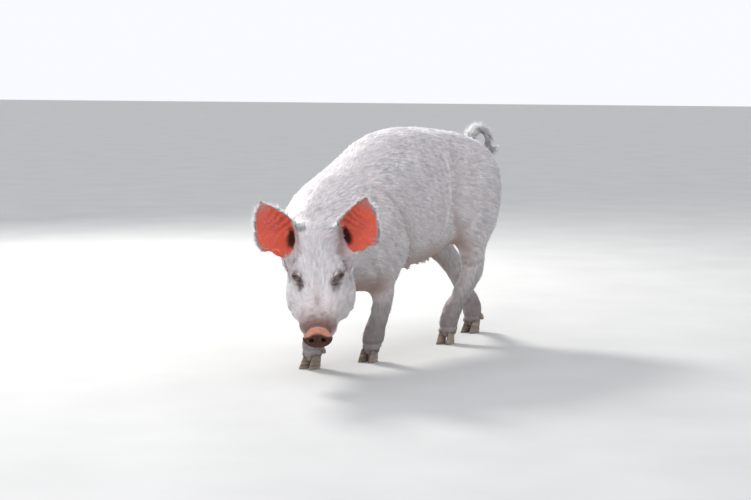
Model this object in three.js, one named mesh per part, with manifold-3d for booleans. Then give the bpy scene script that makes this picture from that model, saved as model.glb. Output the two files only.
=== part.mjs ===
// A young white domestic pig (Large White type) that walks with its head lowered and turned to its left.
// Millimetres, +Z up. The pig faces -Y, its left side is +X, and its claws stand on z = 0.
//
// The flesh is one smooth field of masses, meshed region by region and parted by thin cuts.
// Ears, tail, eyes and claws are closed surfaces of their own, each set into a socket in the flesh.
import * as THREE from "three";
import { mergeVertices } from "three/addons/utils/BufferGeometryUtils.js";
import Module from "manifold-3d";

const wasm = await Module();
wasm.setup();

// ---------------------------------------------------------------- driving dimensions

const LEFT = 1;
const RIGHT = -1;
const SIDES = { left: LEFT, right: RIGHT };
const GAP = 0.5; // clearance between two neighbouring pieces
const FAR = 900; // beyond the whole pig

const POLL = new THREE.Vector3(72, -542, 388); // top of the head, between the ears
const HEAD_PITCH = 52; // degrees that the face points below the horizon
const HEAD_YAW = 30; // degrees that the face turns to the pig's left
const HEAD_ROLL = -2.6;
const FACE_LENGTH = 293; // poll to the front of the snout
const SNOUT_LIFT = 25; // degrees that the disc of the snout is turned up from the face
const SNOUT_RADII = [35, 9, 25]; // the flesh behind the disc
const SNOUT_BACK = 9; // middle of the disc to the cut behind it
const DISC_REACH = 39; // middle of the disc to the tip of a wing
const DISC_WINGS = 6; // height of the wings above the disc's middle
const DISC_HUMP = 25; // height of the hump between the wings
const DISC_CHIN = 31; // depth of the rim below the wings
const DISC_FRONT = 10;
const DISC_THICKNESS = 15;
const DISC_EDGE = 4; // how far the rim is rounded off
const NOSTRIL_SPACING = 31;
const NOSTRIL_RADII = [7, 9, 8];

const EYE_AXIS = [0.77, -0.18, 0.61]; // where an eye looks: to its side, along the face and out of it

const EYE_RADIUS = 12;
const EYE_SHOWS = 3.5; // how far the eye stands out of its socket
const EYE_ALONG = 116; // poll to eye, along the face
const EYE_DEPTH = 42; // below the plane of the forehead
const EYE_SPACING = 26; // middle of the head to where an eye's axis starts

const EAR_LENGTH = 150;
const EAR_THICKNESS = 6.4;
// Half widths of the ear's leaf at equal steps from its root to its tip.
const EAR_OUTER_WIDTHS = [64, 76, 72, 56, 33, 3];
const EAR_INNER_WIDTHS = [24, 32, 30, 22, 12, 3];
const EAR_ROOT = 22; // length of the ear inside the head
const EAR_CURL = 0.51; // forward rise of an edge over its width, at the root
const EAR_TIP_CURL = 0.14;
const EAR_BEND = 16; // how far the tip comes forward
const EAR_DISH = 10; // how far the middle lies behind the root

const CLAW_HEIGHT = 36;
const CLAW_SPACING = 28;
const CLAW_SPLAY = 5; // degrees
const CLAW_TOE = 34; // middle of the foot to a claw's point
const CLAW_HEEL = 18;
const CLAW_HALF_WIDTH = 12;
const CLAW_TAPER = 0.22; // share of its width that a claw loses up to its top
const CLAW_SHORTENING = 0.3;
const CLAW_RAKE = 12; // how far back the top of a claw lies
const DEWCLAW_RADII = [8, 9, 15];
const DEWCLAW_PLACE = [17, 31, 48]; // out from, behind and above the middle of the foot's sole
const DEWCLAW_LEAN = 32; // degrees
const DEWCLAW_SPLAY = 14;

// ---------------------------------------------------------------- places and frames

const degrees = THREE.MathUtils.degToRad;
const vector = (x, y, z) => new THREE.Vector3(x, y, z);
const UP = vector(0, 0, 1);
const FORWARD = vector(0, -1, 0);
const UNTURNED = new THREE.Matrix4();

// A frame at a place, turned by roll about Y, then pitch about X, then yaw about Z, in degrees.
function frameAt(place, pitch, yaw, roll = 0) {
  const turn = new THREE.Euler(degrees(pitch), degrees(roll), degrees(yaw), "ZXY");
  return new THREE.Matrix4().makeRotationFromEuler(turn).setPosition(place);
}

// The head's own frame has its origin at the poll, -Y along the face and +Z out of the forehead.
const HEAD = frameAt(POLL, HEAD_PITCH, HEAD_YAW, HEAD_ROLL);
const onHead = (x, along, out) => vector(x, -along, out).applyMatrix4(HEAD);

// The snout's frame has its origin in the middle of the disc, and -Y is the way that the disc faces.
const SNOUT = frameAt(onHead(0, FACE_LENGTH - 12, -69), HEAD_PITCH - SNOUT_LIFT, HEAD_YAW, HEAD_ROLL);

// ---------------------------------------------------------------- fields of flesh

// A field is negative inside, zero on the surface, and about millimetres near it.

// A fullness of 2 makes round sections, and more makes squarer ones.
function ellipsoid(centre, radii, frame = UNTURNED, fullness = 2) {
  const inward = frame.clone().setPosition(centre).invert();
  const local = vector();
  return (p) => {
    local.copy(p).applyMatrix4(inward);
    const shares = local.toArray().map((part, k) => Math.abs(part / radii[k]) ** fullness);
    const sum = shares.reduce((total, share) => total + share, 0);
    return sum ? local.length() * (1 - sum ** (-1 / fullness)) : -Math.min(...radii);
  };
}

// A limb, trunk or muzzle along a spine. Each station is its centre, its half width, and how far it
// reaches along up and against it.
function limb(stations, up, fullness, samples) {
  const spine = new THREE.CatmullRomCurve3(stations.map(([centre]) => centre), false, "centripetal");
  const reach = new THREE.CatmullRomCurve3(
    stations.map(([, wide, above, below]) => vector(wide, above, below)),
    false,
    "catmullrom",
    0.5,
  );
  const rings = Array.from({ length: samples + 1 }, (_, i) => {
    const along = spine.getTangent(i / samples);
    const side = vector().crossVectors(up, along).normalize();
    const above = vector().crossVectors(along, side);
    return { at: spine.getPoint(i / samples), size: reach.getPoint(i / samples), along, side, above };
  });
  const step = vector();
  const offset = vector();
  const at = vector();
  return (p) => {
    let nearest = Infinity;
    let ring = 0;
    let share = 0;
    for (let i = 0; i < samples; i++) {
      step.subVectors(rings[i + 1].at, rings[i].at);
      offset.subVectors(p, rings[i].at);
      const t = THREE.MathUtils.clamp(offset.dot(step) / step.lengthSq(), 0, 1);
      const gap = offset.addScaledVector(step, -t).lengthSq();
      if (gap < nearest) [nearest, ring, share] = [gap, i, t];
    }
    const [a, b] = [rings[ring], rings[ring + 1]];
    const mix = (u, v) => u * (1 - share) + v * share;
    offset.subVectors(p, at.lerpVectors(a.at, b.at, share));
    const across = mix(offset.dot(a.side), offset.dot(b.side));
    const rise = mix(offset.dot(a.above), offset.dot(b.above));
    const past = mix(offset.dot(a.along), offset.dot(b.along));
    const wide = mix(a.size.x, b.size.x);
    const tall = rise > 0 ? mix(a.size.y, b.size.y) : mix(a.size.z, b.size.z);
    const power = (part, whole) => Math.abs(part / whole) ** fullness;
    const sum = power(across, wide) + power(rise, tall) + power(past, Math.min(wide, tall));
    return sum ? offset.length() * (1 - sum ** (-1 / fullness)) : -Math.min(wide, tall);
  };
}

// Two field values joined with a fillet about this wide.
function blend(a, b, width) {
  const overlap = Math.max(width - Math.abs(a - b), 0) / width;
  return Math.min(a, b) - (overlap * overlap * width) / 4;
}

// ---------------------------------------------------------------- the trunk and neck

// One station of the trunk, from its highest and lowest points.
function girth(x, y, top, bottom, halfWidth) {
  return [vector(x, y, (top + bottom) / 2), halfWidth, (top - bottom) / 2, (top - bottom) / 2];
}

const trunk = limb(
  [
    girth(8, 370, 590, 352, 97), // rump
    girth(4, 335, 612, 338, 118),
    girth(-2, 280, 628, 322, 127), // hips
    girth(-8, 190, 640, 285, 129),
    girth(-12, 90, 646, 250, 133), // loin
    girth(-13, -10, 644, 238, 137), // belly
    girth(-9, -110, 616, 226, 135),
    girth(-3, -200, 575, 208, 133), // withers
    girth(-3, -280, 541, 196, 136),
    girth(-5, -350, 513, 194, 141), // brisket
    girth(11, -430, 466, 214, 120),
    girth(42, -500, 412, 240, 94), // nape
  ],
  UP,
  2.3,
  60,
);
const shoulders = Object.values(SIDES).map((side) =>
  ellipsoid(vector(side * 86, -246 + side * 12, 378), [48, 88, 140]),
);
const HAM_RADII = [58, 104, 150];
const hams = [LEFT, RIGHT].map((side) => ellipsoid(vector(3 + side * 76, 326, 428), HAM_RADII));
const SHEATH = { place: vector(-6, 98, 243), radii: [18, 64, 34] };

// ---------------------------------------------------------------- the head

// One station of the skull and muzzle: distance along the face, height of its middle, and its reaches.
function faceStation(along, out, halfWidth, above, below) {
  return [onHead(0, along, out), halfWidth, above, below];
}

const outOfForehead = vector(0, 0, 1).transformDirection(HEAD);
const skull = limb(
  [
    faceStation(48, -74, 60, 68, 70),
    faceStation(90, -75, 69, 74, 84),
    faceStation(130, -75, 72, 66, 80),
    faceStation(165, -74, 66, 54, 66),
    faceStation(205, -72, 57, 45, 50),
    faceStation(235, -70, 50, 39, 42),
  ],
  outOfForehead,
  2.3,
  40,
);
const snoutMiddle = vector(0, 0, 0).applyMatrix4(SNOUT);
const snoutDisc = ellipsoid(snoutMiddle, SNOUT_RADII, SNOUT, 2.8);
const CHEEK_RADII = [40, 68, 50];
const BROW_RADII = [19, 32, 14];
const cheeks = [LEFT, RIGHT].map((side) => ellipsoid(onHead(side * 50, 130, -110), CHEEK_RADII, HEAD));
const brows = [LEFT, RIGHT].map((side) => ellipsoid(onHead(side * 46, 102, -20), BROW_RADII, HEAD));

// Each ear: how far it leans outward and back from the forehead's normal, and turns its opening inward.
const EARS = {
  left: { side: LEFT, root: onHead(68, -4, -34), splay: 25, lean: 14, turn: 13 },
  right: { side: RIGHT, root: onHead(-72, -2, -36), splay: 31, lean: 16, turn: 22 },
};
const EAR_ROOT_RADII = [20, 22, 27];
const earRoots = Object.values(EARS).map(({ root }) => ellipsoid(root, EAR_ROOT_RADII, HEAD));

// ---------------------------------------------------------------- the legs

function foreleg(shoulder, elbow, knee, fetlock, toe) {
  return limb(
    [
      [shoulder, 36, 62, 66],
      [elbow, 38, 50, 54],
      [elbow.clone().lerp(knee, 0.5), 32, 37, 38],
      [knee, 28, 30, 28],
      [knee.clone().lerp(fetlock, 0.55), 25, 26, 26],
      [fetlock, 31, 30, 31],
      [toe.clone().lerp(fetlock, 0.42), 26, 24, 24],
    ],
    FORWARD,
    2.2,
    24,
  );
}

function hindleg(hip, stifle, hock, fetlock, toe) {
  return limb(
    [
      [hip, 52, 100, 100],
      [stifle, 46, 62, 84],
      [stifle.clone().lerp(hock, 0.55), 36, 42, 48],
      [hock, 28, 32, 46],
      [hock.clone().lerp(fetlock, 0.5), 24, 27, 28],
      [fetlock, 28, 28, 30],
      [toe.clone().lerp(fetlock, 0.42), 26, 24, 24],
    ],
    FORWARD,
    2.2,
    24,
  );
}

// Joints from the trunk down to the ground under the foot, how far the toes turn out, and the leg's cut:
// a plug in the armpit or groin, and a floor under which all belongs to the leg.
const LEGS = {
  front_left: {
    side: LEFT,
    make: foreleg,
    joints: [
      vector(92, -262, 400),
      vector(80, -225, 300),
      vector(63, -203, 163),
      vector(37, -206, 74),
      vector(30, -224, 0),
    ],
    toesOut: 6,
    plug: { centre: vector(90, -226, 236), radii: [66, 80, 96], lean: 8 },
    floor: 186,
  },
  front_right: {
    side: RIGHT,
    make: foreleg,
    joints: [
      vector(-88, -300, 400),
      vector(-76, -285, 292),
      vector(-60, -340, 160),
      vector(-48, -386, 72),
      vector(-42, -406, 0),
    ],
    toesOut: -4,
    plug: { centre: vector(-90, -298, 236), radii: [66, 78, 96], lean: -20 },
    floor: 186,
  },
  hind_left: {
    side: LEFT,
    make: hindleg,
    joints: [
      vector(74, 322, 480),
      vector(84, 268, 340),
      vector(72, 308, 212),
      vector(52, 204, 76),
      vector(50, 183, 0),
    ],
    toesOut: 8,
    plug: { centre: vector(95, 291, 302), radii: [84, 116, 112], lean: 0 },
    floor: 245,
  },
  hind_right: {
    side: RIGHT,
    make: hindleg,
    joints: [
      vector(-74, 318, 480),
      vector(-76, 268, 340),
      vector(-42, 385, 216),
      vector(-2, 450, 76),
      vector(2, 432, 0),
    ],
    toesOut: -6,
    plug: { centre: vector(-82, 332, 300), radii: [88, 132, 114], lean: 14 },
    floor: 245,
  },
};
for (const leg of Object.values(LEGS)) leg.flesh = leg.make(...leg.joints);

// ---------------------------------------------------------------- the whole flesh

// Each group of masses, and the width of the fillet that joins it to the rest.
const JOINED = [
  [[...shoulders, ...hams], 36],
  [[skull], 40],
  [cheeks, 34],
  [earRoots, 24],
  [brows, 16],
  [[snoutDisc], 5],
];
const LEG_FILLET = 40;

function withoutLegs(p) {
  let value = trunk(p);
  for (const [masses, fillet] of JOINED) {
    for (const mass of masses) value = blend(value, mass(p), fillet);
  }
  return value;
}

const withLeg = (leg) => (p) => blend(withoutLegs(p), leg.flesh(p), LEG_FILLET);
const withLegs = (p) =>
  Object.values(LEGS).reduce((value, leg) => blend(value, leg.flesh(p), LEG_FILLET), withoutLegs(p));

// ---------------------------------------------------------------- solids

function solidOf(geometry) {
  const bare = new THREE.BufferGeometry().setAttribute("position", geometry.getAttribute("position"));
  bare.setIndex(geometry.index);
  const merged = mergeVertices(bare, 1e-3);
  const vertProperties = new Float32Array(merged.attributes.position.array);
  return new wasm.Manifold(
    new wasm.Mesh({ numProp: 3, vertProperties, triVerts: new Uint32Array(merged.index.array) }),
  );
}

// A box from its lowest and highest corners in its own frame.
function block(frame, low, high) {
  const size = high.map((h, k) => h - low[k]);
  const box = new THREE.BoxGeometry(...size);
  box.translate(...size.map((s, k) => low[k] + s / 2));
  return solidOf(box.applyMatrix4(frame));
}

// All that lies before a frame's XZ plane, moved back by this much.
function before(frame, back = 0) {
  return block(frame, [-FAR, -FAR, -FAR], [FAR, back, FAR]);
}

// Moves a point onto a field's zero surface, by no more than reach.
function settle(field, point, reach) {
  const start = point.clone();
  const slope = vector();
  const probe = vector();
  const stride = 0.5;
  for (let turn = 0; turn < 4; turn++) {
    const value = field(point);
    for (const axis of ["x", "y", "z"]) {
      probe.copy(point)[axis] += stride;
      slope[axis] = (field(probe) - value) / stride;
    }
    point.addScaledVector(slope, -value / Math.max(slope.lengthSq(), 0.2));
  }
  return point.sub(start).clampLength(0, reach).add(start);
}

// The zero surface of a field inside a box of cells, closed at the box's faces: a surface net,
// with one vertex in each cell that the surface crosses and one quad round each crossed edge.
function netOf(field, frame, low, high, cell) {
  const count = cell.map((c, k) => Math.round((high[k] - low[k]) / c));
  const index = ([i, j, k]) => i + (count[0] + 1) * (j + (count[1] + 1) * k);
  const place = (node) => vector(...node.map((n, k) => low[k] + n * cell[k])).applyMatrix4(frame);
  const eachNode = (last, visit) => {
    const [columns, rows, layers] = count.map((n) => n + 1 - last);
    for (let n = 0; n < columns * rows * layers; n++) {
      visit([n % columns, Math.floor(n / columns) % rows, Math.floor(n / columns / rows)]);
    }
  };

  const values = [];
  eachNode(0, (node) => {
    const onFace = node.some((n, k) => n === 0 || n === count[k]);
    const value = field(place(node));
    values[index(node)] = onFace ? Math.max(value, 1) : value;
  });
  const inside = (node) => values[index(node)] < 0;
  const step = (node, axis, by) => node.map((n, k) => (k === axis ? n + by : n));

  const corners = Array.from({ length: 8 }, (_, n) => [n & 1, (n >> 1) & 1, n >> 2]);
  const vertexIn = new Map();
  const vertices = [];
  eachNode(1, (node) => {
    const middle = vector();
    let crossings = 0;
    for (const corner of corners)
      for (const axis of [0, 1, 2]) {
        if (corner[axis]) continue;
        const from = node.map((n, k) => n + corner[k]);
        const to = step(from, axis, 1);
        if (inside(from) === inside(to)) continue;
        const [a, b] = [values[index(from)], values[index(to)]];
        middle.add(place(from).lerp(place(to), a / (a - b)));
        crossings++;
      }
    if (!crossings) return;
    middle.divideScalar(crossings);
    const clear = node.every((n, k) => n > 0 && n < count[k] - 1);
    if (clear) settle(field, middle, Math.min(...cell) * 0.25);
    vertexIn.set(index(node), vertices.length);
    vertices.push(middle);
  });

  const triangles = [];
  eachNode(1, (node) => {
    for (const axis of [0, 1, 2]) {
      const [u, v] = [(axis + 1) % 3, (axis + 2) % 3];
      if (node[u] < 1 || node[v] < 1 || inside(node) === inside(step(node, axis, 1))) continue;
      const back = step(node, u, -1);
      const ring = [node, back, step(back, v, -1), step(node, v, -1)].map((n) => vertexIn.get(index(n)));
      const [a, b, c, d] = inside(node) ? ring : ring.reverse();
      const span = (m, n) => vertices[m].distanceTo(vertices[n]);
      if (span(a, c) < span(b, d)) triangles.push(a, b, c, a, c, d);
      else triangles.push(b, c, d, b, d, a);
    }
  });
  const net = new THREE.BufferGeometry().setFromPoints(vertices);
  return solidOf(net.setIndex(triangles));
}

// A sphere whose vertices are moved by place(along, round), so that it becomes any closed skin with two
// ends. along runs from 0 to 1, pole to pole, and round from 0 to 2 pi.
function bag(rounds, alongs, place) {
  const ball = new THREE.SphereGeometry(1, rounds, alongs);
  const position = ball.attributes.position;
  const uv = ball.attributes.uv;
  for (let i = 0; i < position.count; i++) {
    const row = Math.round((1 - uv.getY(i)) * alongs);
    const column = Math.round(uv.getX(i) * rounds) % rounds;
    const atPole = row === 0 || row === alongs;
    const { x, y, z } = place(row / alongs, atPole ? 0 : (column / rounds) * 2 * Math.PI);
    position.setXYZ(i, x, y, z);
  }
  return solidOf(ball);
}

// ---------------------------------------------------------------- ears

const edgeOf = (widths) => new THREE.SplineCurve(widths.map((half) => new THREE.Vector2(half, 0)));
const earOuterEdge = edgeOf(EAR_OUTER_WIDTHS);
const earInnerEdge = edgeOf(EAR_INNER_WIDTHS);

// The ear is a leaf in its own frame: +Y from root to tip, +Z out of its opening, +X to the pig's left.
// across runs from -1 at the inner edge to 1 at the outer one, and the leaf curls forward at both edges.
function earSheet(side, along, across, grow) {
  const edge = across > 0 ? earOuterEdge : earInnerEdge;
  const half = edge.getPoint(THREE.MathUtils.clamp(along, 0, 1)).x;
  const reach = across * (half + grow);
  const curl = THREE.MathUtils.lerp(EAR_CURL, EAR_TIP_CURL, along) * reach * (reach / half);
  const bend = EAR_BEND * along * along;
  return vector(side * reach, along * EAR_LENGTH, curl + bend - EAR_DISH);
}

function ear({ side, root, splay, lean, turn }, grow) {
  const outward = frameAt(vector(0, 0, 0), 0, 0, side * splay);
  const backward = frameAt(vector(0, 0, 0), 90 - lean, 0, 0);
  const opening = frameAt(vector(0, 0, 0), 0, 0, -side * turn);
  const frame = HEAD.clone().setPosition(root).multiply(outward).multiply(backward).multiply(opening);
  const rounds = 16;
  const alongs = 9;
  const rootShare = EAR_ROOT / EAR_LENGTH;
  return bag(rounds, alongs, (row, round) => {
    const along = THREE.MathUtils.lerp(-rootShare, 1, row);
    const across = Math.cos(round);
    const middle = earSheet(side, along, across, grow);
    const behind = earSheet(side, along - 0.01, across, grow);
    const beyond = earSheet(side, along + 0.01, across, grow);
    const inner = earSheet(side, along, across - 0.01, grow);
    const outer = earSheet(side, along, across + 0.01, grow);
    const normal = beyond.sub(behind).cross(outer.sub(inner)).normalize().multiplyScalar(-side);
    const pole = row === 0 || row === 1;
    const thick = EAR_THICKNESS * (0.5 - 0.25 * along) + grow;
    const beyondEnd = (row ? grow : -2 * grow) / EAR_LENGTH;
    if (pole) return earSheet(side, along + beyondEnd, 0, grow).applyMatrix4(frame);
    return middle.addScaledVector(normal, side * Math.sin(round) * thick).applyMatrix4(frame);
  });
}

// ---------------------------------------------------------------- tail

const TAIL = new THREE.CatmullRomCurve3([
  vector(6, 372, 556),
  vector(5, 408, 584),
  vector(4, 428, 608),
  vector(11, 446, 624),
  vector(30, 459, 620),
  vector(41, 464, 600),
  vector(41, 463, 580),
  vector(49, 470, 565),
  vector(60, 477, 568),
]);
const TAIL_ROOT_RADIUS = 16;
const TAIL_TIP_RADIUS = 5;

function tail(grow) {
  const alongs = 18;
  const frames = TAIL.computeFrenetFrames(alongs, false);
  return bag(7, alongs, (row, round) => {
    const ring = Math.round(row * alongs);
    const radius = THREE.MathUtils.lerp(TAIL_ROOT_RADIUS, TAIL_TIP_RADIUS, Math.sqrt(row)) + grow;
    const end = row === 0 || row === 1;
    const wide = end ? 0 : radius;
    return TAIL.getPointAt(row)
      .addScaledVector(frames.normals[ring], -wide * Math.cos(round))
      .addScaledVector(frames.binormals[ring], wide * Math.sin(round));
  });
}

// ---------------------------------------------------------------- eyes and nostrils

function ball(centre, radii, frame, rounds = 10, alongs = 6) {
  const sphere = new THREE.SphereGeometry(1, rounds, alongs).scale(...radii);
  return solidOf(sphere.applyMatrix4(frame.clone().setPosition(centre)));
}

// The place where a ray from inside the head leaves it.
function surfaceAlong(start, direction) {
  const point = start.clone();
  while (withoutLegs(point) < 0) point.addScaledVector(direction, 0.5);
  return point;
}

function eyeCentre(side) {
  const [out, alongFace, up] = EYE_AXIS;
  const outward = vector(side * out, alongFace, up).transformDirection(HEAD);
  const rim = surfaceAlong(onHead(side * EYE_SPACING, EYE_ALONG, -EYE_DEPTH), outward);
  return rim.addScaledVector(outward, EYE_SHOWS - EYE_RADIUS);
}

// The bare disc that ends the snout: a rim with a hump above, a wing on each side and a round chin below.
function disc() {
  const steps = 22;
  const outline = Array.from({ length: steps }, (_, k) => {
    const turn = (2 * Math.PI * k) / steps;
    const x = DISC_REACH * Math.cos(turn);
    const hump = DISC_HUMP * Math.exp(-((x / 23) ** 2)) * (1 - Math.cos(turn) ** 8);
    return new THREE.Vector2(x, DISC_WINGS + (turn < Math.PI ? hump : DISC_CHIN * Math.sin(turn)));
  });
  const plate = new THREE.ExtrudeGeometry(new THREE.Shape(outline), {
    depth: DISC_THICKNESS - 2 * DISC_EDGE,
    bevelThickness: DISC_EDGE,
    bevelSize: DISC_EDGE,
    bevelOffset: -DISC_EDGE,
    bevelSegments: 1,
  });
  plate.rotateX(Math.PI / 2).translate(0, DISC_THICKNESS - DISC_EDGE - DISC_FRONT, 0);
  return solidOf(plate.applyMatrix4(SNOUT));
}

// ---------------------------------------------------------------- claws

// The sole of one claw: pointed in front, round at the heel.
function soleOutline(grow) {
  const [toe, heel, wide] = [CLAW_TOE, CLAW_HEEL, CLAW_HALF_WIDTH].map((size) => size + grow);
  const sole = new THREE.Shape();
  sole.moveTo(0, -toe);
  sole.quadraticCurveTo(wide - 1, -CLAW_TOE / 2, wide, 2);
  sole.quadraticCurveTo(wide, heel, 0, heel);
  sole.quadraticCurveTo(-wide, heel, -wide, 2);
  sole.quadraticCurveTo(1 - wide, -CLAW_TOE / 2, 0, -toe);
  return sole;
}

function claw(foot, side, grow) {
  const horn = new THREE.ExtrudeGeometry(soleOutline(grow), {
    depth: CLAW_HEIGHT + grow,
    bevelEnabled: false,
    curveSegments: 3,
  });
  const position = horn.attributes.position;
  for (let i = 0; i < position.count; i++) {
    const rise = position.getZ(i) / CLAW_HEIGHT;
    position.setX(i, position.getX(i) * (1 - CLAW_TAPER * rise));
    position.setY(i, position.getY(i) * (1 - CLAW_SHORTENING * rise) + CLAW_RAKE * rise);
  }
  horn.rotateZ(degrees(side * CLAW_SPLAY)).translate((side * CLAW_SPACING) / 2, 0, 0);
  return solidOf(horn.applyMatrix4(foot));
}

function dewclaw(foot, side, grow) {
  const [out, behind, above] = DEWCLAW_PLACE;
  const place = vector(side * out, behind, above).applyMatrix4(foot);
  const leant = frameAt(vector(0, 0, 0), DEWCLAW_LEAN, 0, -side * DEWCLAW_SPLAY);
  const frame = foot.clone().multiply(leant);
  return ball(place, DEWCLAW_RADII.map((r) => r + grow), frame, 6, 4);
}

// ---------------------------------------------------------------- the pig

const COAT = { color: 0xf3e7e3, roughness: 0.85 };
const finish = {
  coat: COAT,
  ear: { color: 0xd98a7a, roughness: 0.75 },
  snout: { color: 0xc88d7c, roughness: 0.55 },
  eye: { color: 0x2b201c, roughness: 0.1 },
  claw: { color: 0x9c8b78, roughness: 0.6 },
};

// Steps of the nets: fine round a limb or muzzle, and long where the flesh runs straight.
const HEAD_CELL = [21, 27, 20];
const CORE_CELL = [41, 60, 38];
const LEG_CELL = [18, 19, 44];
const HEAD_NET = [
  [-132, -316, -230],
  [132, 100, 70],
];
const CORE_NET = [
  [-190, -640, 168],
  [190, 500, 670],
];
const LEG_MARGIN = [90, 120, 0]; // round a leg's joints
const LEG_RISE = 120; // above its highest joint
const NAPE_BACK = 48; // poll to the cut behind the head
const LEG_AHEAD = 210; // how far a leg's region reaches in front of its joints
const LEG_BEHIND = 240;

const pieces = new Map();
const add = (name, solid, look) => pieces.set(name, { solid, look });

function buildPig() {
  // Behind the ears and jowls, and in front of the shoulders.
  const napeCut = frameAt(POLL, 30, 22);
  const shoulderCut = frameAt(vector(0, -365, 380), 2, 6);
  let head = netOf(withoutLegs, HEAD, ...HEAD_NET, HEAD_CELL);
  head = head.intersect(before(napeCut, NAPE_BACK));
  let snout = head.intersect(before(SNOUT, SNOUT_BACK)).add(disc());
  head = head.subtract(before(SNOUT, SNOUT_BACK + GAP));
  for (const side of [LEFT, RIGHT]) {
    const nostril = vector((side * NOSTRIL_SPACING) / 2, -DISC_FRONT, 1).applyMatrix4(SNOUT);
    snout = snout.subtract(ball(nostril, NOSTRIL_RADII, SNOUT, 8, 6));
  }

  let core = netOf(withLegs, UNTURNED, ...CORE_NET, CORE_CELL);
  core = core.add(ball(SHEATH.place, SHEATH.radii, UNTURNED, 12, 8));
  core = core.subtract(before(napeCut, NAPE_BACK + GAP));
  for (const leg of Object.values(LEGS)) {
    core = core.subtract(legRegion(leg, GAP));
    leg.solid = netOf(withLeg(leg), UNTURNED, ...legBox(leg), LEG_CELL).intersect(legRegion(leg, 0));
  }
  const neck = core.intersect(before(shoulderCut));
  const body = core.subtract(before(shoulderCut, GAP)).subtract(tail(GAP));
  add("tail", tail(0), finish.coat);
  for (const [name, side] of Object.entries(SIDES)) {
    const eye = (grow) => ball(eyeCentre(side), Array(3).fill(EYE_RADIUS + grow), HEAD);
    head = head.subtract(eye(GAP)).subtract(ear(EARS[name], GAP));
    add("eye_" + name, eye(0), finish.eye);
  }
  for (const name of Object.keys(SIDES)) {
    add("ear_" + name, ear(EARS[name], 0).subtract(head), finish.ear);
  }
  add("head", head, finish.coat);
  add("snout", snout, finish.snout);
  add("neck", neck, finish.coat);
  add("trunk", body, finish.coat);

  for (const [name, leg] of Object.entries(LEGS)) {
    const foot = frameAt(leg.joints.at(-1), 0, leg.toesOut);
    const toes = { medial: -leg.side, lateral: leg.side };
    for (const [toe, side] of Object.entries(toes)) {
      for (const [kind, make] of Object.entries({ claw, dewclaw })) {
        leg.solid = leg.solid.subtract(make(foot, side, GAP));
        add(`${kind}_${name}_${toe}`, make(foot, side, 0), finish.claw);
      }
    }
    add("leg_" + name, leg.solid, finish.coat);
  }
}

// What belongs to a leg: a rounded plug that fills the armpit or groin, and all below its floor.
function legRegion({ plug, floor, joints }, grow) {
  const turned = frameAt(plug.centre, plug.lean, 0);
  const upper = ball(plug.centre, plug.radii.map((r) => r + grow), turned, 16, 8);
  const below = frameAt(vector(0, joints[1].y, floor), 0, 0);
  const lower = block(below, [-FAR, -LEG_AHEAD, -FAR], [FAR, LEG_BEHIND, grow]);
  return upper.add(lower);
}

// The box that a leg's net is made in, round its joints.
function legBox(leg) {
  const [, ...joints] = leg.joints;
  const { min, max } = new THREE.Box3().setFromPoints(joints).expandByVector(vector(...LEG_MARGIN));
  return [
    [min.x, min.y, -LEG_CELL[1]],
    [max.x, max.y, max.z + LEG_RISE],
  ];
}

buildPig();
const whole = new THREE.Box3();
for (const { solid } of pieces.values()) {
  const { min, max } = solid.boundingBox();
  whole.expandByPoint(vector(...min)).expandByPoint(vector(...max));
}
const standingPlace = whole.getCenter(vector()).setZ(whole.min.z);

const pig = new THREE.Group();
for (const [name, { solid, look }] of pieces) {
  const made = solid.getMesh();
  const geometry = new THREE.BufferGeometry();
  geometry.setAttribute("position", new THREE.BufferAttribute(made.vertProperties, 3));
  geometry.setIndex(new THREE.BufferAttribute(made.triVerts, 1));
  geometry.translate(...standingPlace.clone().negate().toArray());
  const mesh = new THREE.Mesh(geometry, new THREE.MeshStandardMaterial({ metalness: 0, ...look }));
  mesh.name = name;
  pig.add(mesh);
}
export default pig;
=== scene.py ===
import math

import bpy
import numpy as np
from mathutils import Matrix, Vector


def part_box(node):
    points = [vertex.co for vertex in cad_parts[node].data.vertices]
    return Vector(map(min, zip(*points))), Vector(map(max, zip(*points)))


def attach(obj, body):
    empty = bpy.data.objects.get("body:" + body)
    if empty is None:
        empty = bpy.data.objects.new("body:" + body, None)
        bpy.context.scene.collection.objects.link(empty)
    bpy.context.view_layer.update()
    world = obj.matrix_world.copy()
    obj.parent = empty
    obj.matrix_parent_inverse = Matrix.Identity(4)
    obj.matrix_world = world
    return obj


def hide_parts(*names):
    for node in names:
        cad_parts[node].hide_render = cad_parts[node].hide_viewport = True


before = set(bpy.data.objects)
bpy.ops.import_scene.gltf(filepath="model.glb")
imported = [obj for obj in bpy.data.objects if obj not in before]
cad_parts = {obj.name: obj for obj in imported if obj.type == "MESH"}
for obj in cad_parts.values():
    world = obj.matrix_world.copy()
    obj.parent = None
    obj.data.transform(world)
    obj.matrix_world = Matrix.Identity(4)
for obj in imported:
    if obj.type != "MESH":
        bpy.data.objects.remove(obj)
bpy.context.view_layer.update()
rng = np.random.default_rng(20)

# ---------------------------------------------------------------- places, in millimetres on the pig

SHIFT = np.array([-34.079, 95.482, 0.0])  # from the pig's own origin to the row frame
MM = 0.001


def place(x, y, z):
    """A point of the pig, in metres in the row frame."""
    return (np.array([x, y, z], float) + SHIFT) * MM


def turned(pitch, yaw, roll=0.0):
    return (
        Matrix.Rotation(math.radians(yaw), 3, "Z")
        @ Matrix.Rotation(math.radians(pitch), 3, "X")
        @ Matrix.Rotation(math.radians(roll), 3, "Y")
    )


POLL = place(72, -542, 388)
HEAD = np.array(turned(52, 30, -2.6))
FACE_LENGTH = 293.0


def on_head(x, along, out):
    return POLL + HEAD @ (np.array([x, -along, out]) * MM)


def to_head(p):
    """Points in the head's frame, in mm: left, along the face, out of the forehead."""
    q = (p - POLL) @ HEAD / MM
    return q * np.array([1.0, -1.0, 1.0])


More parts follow.
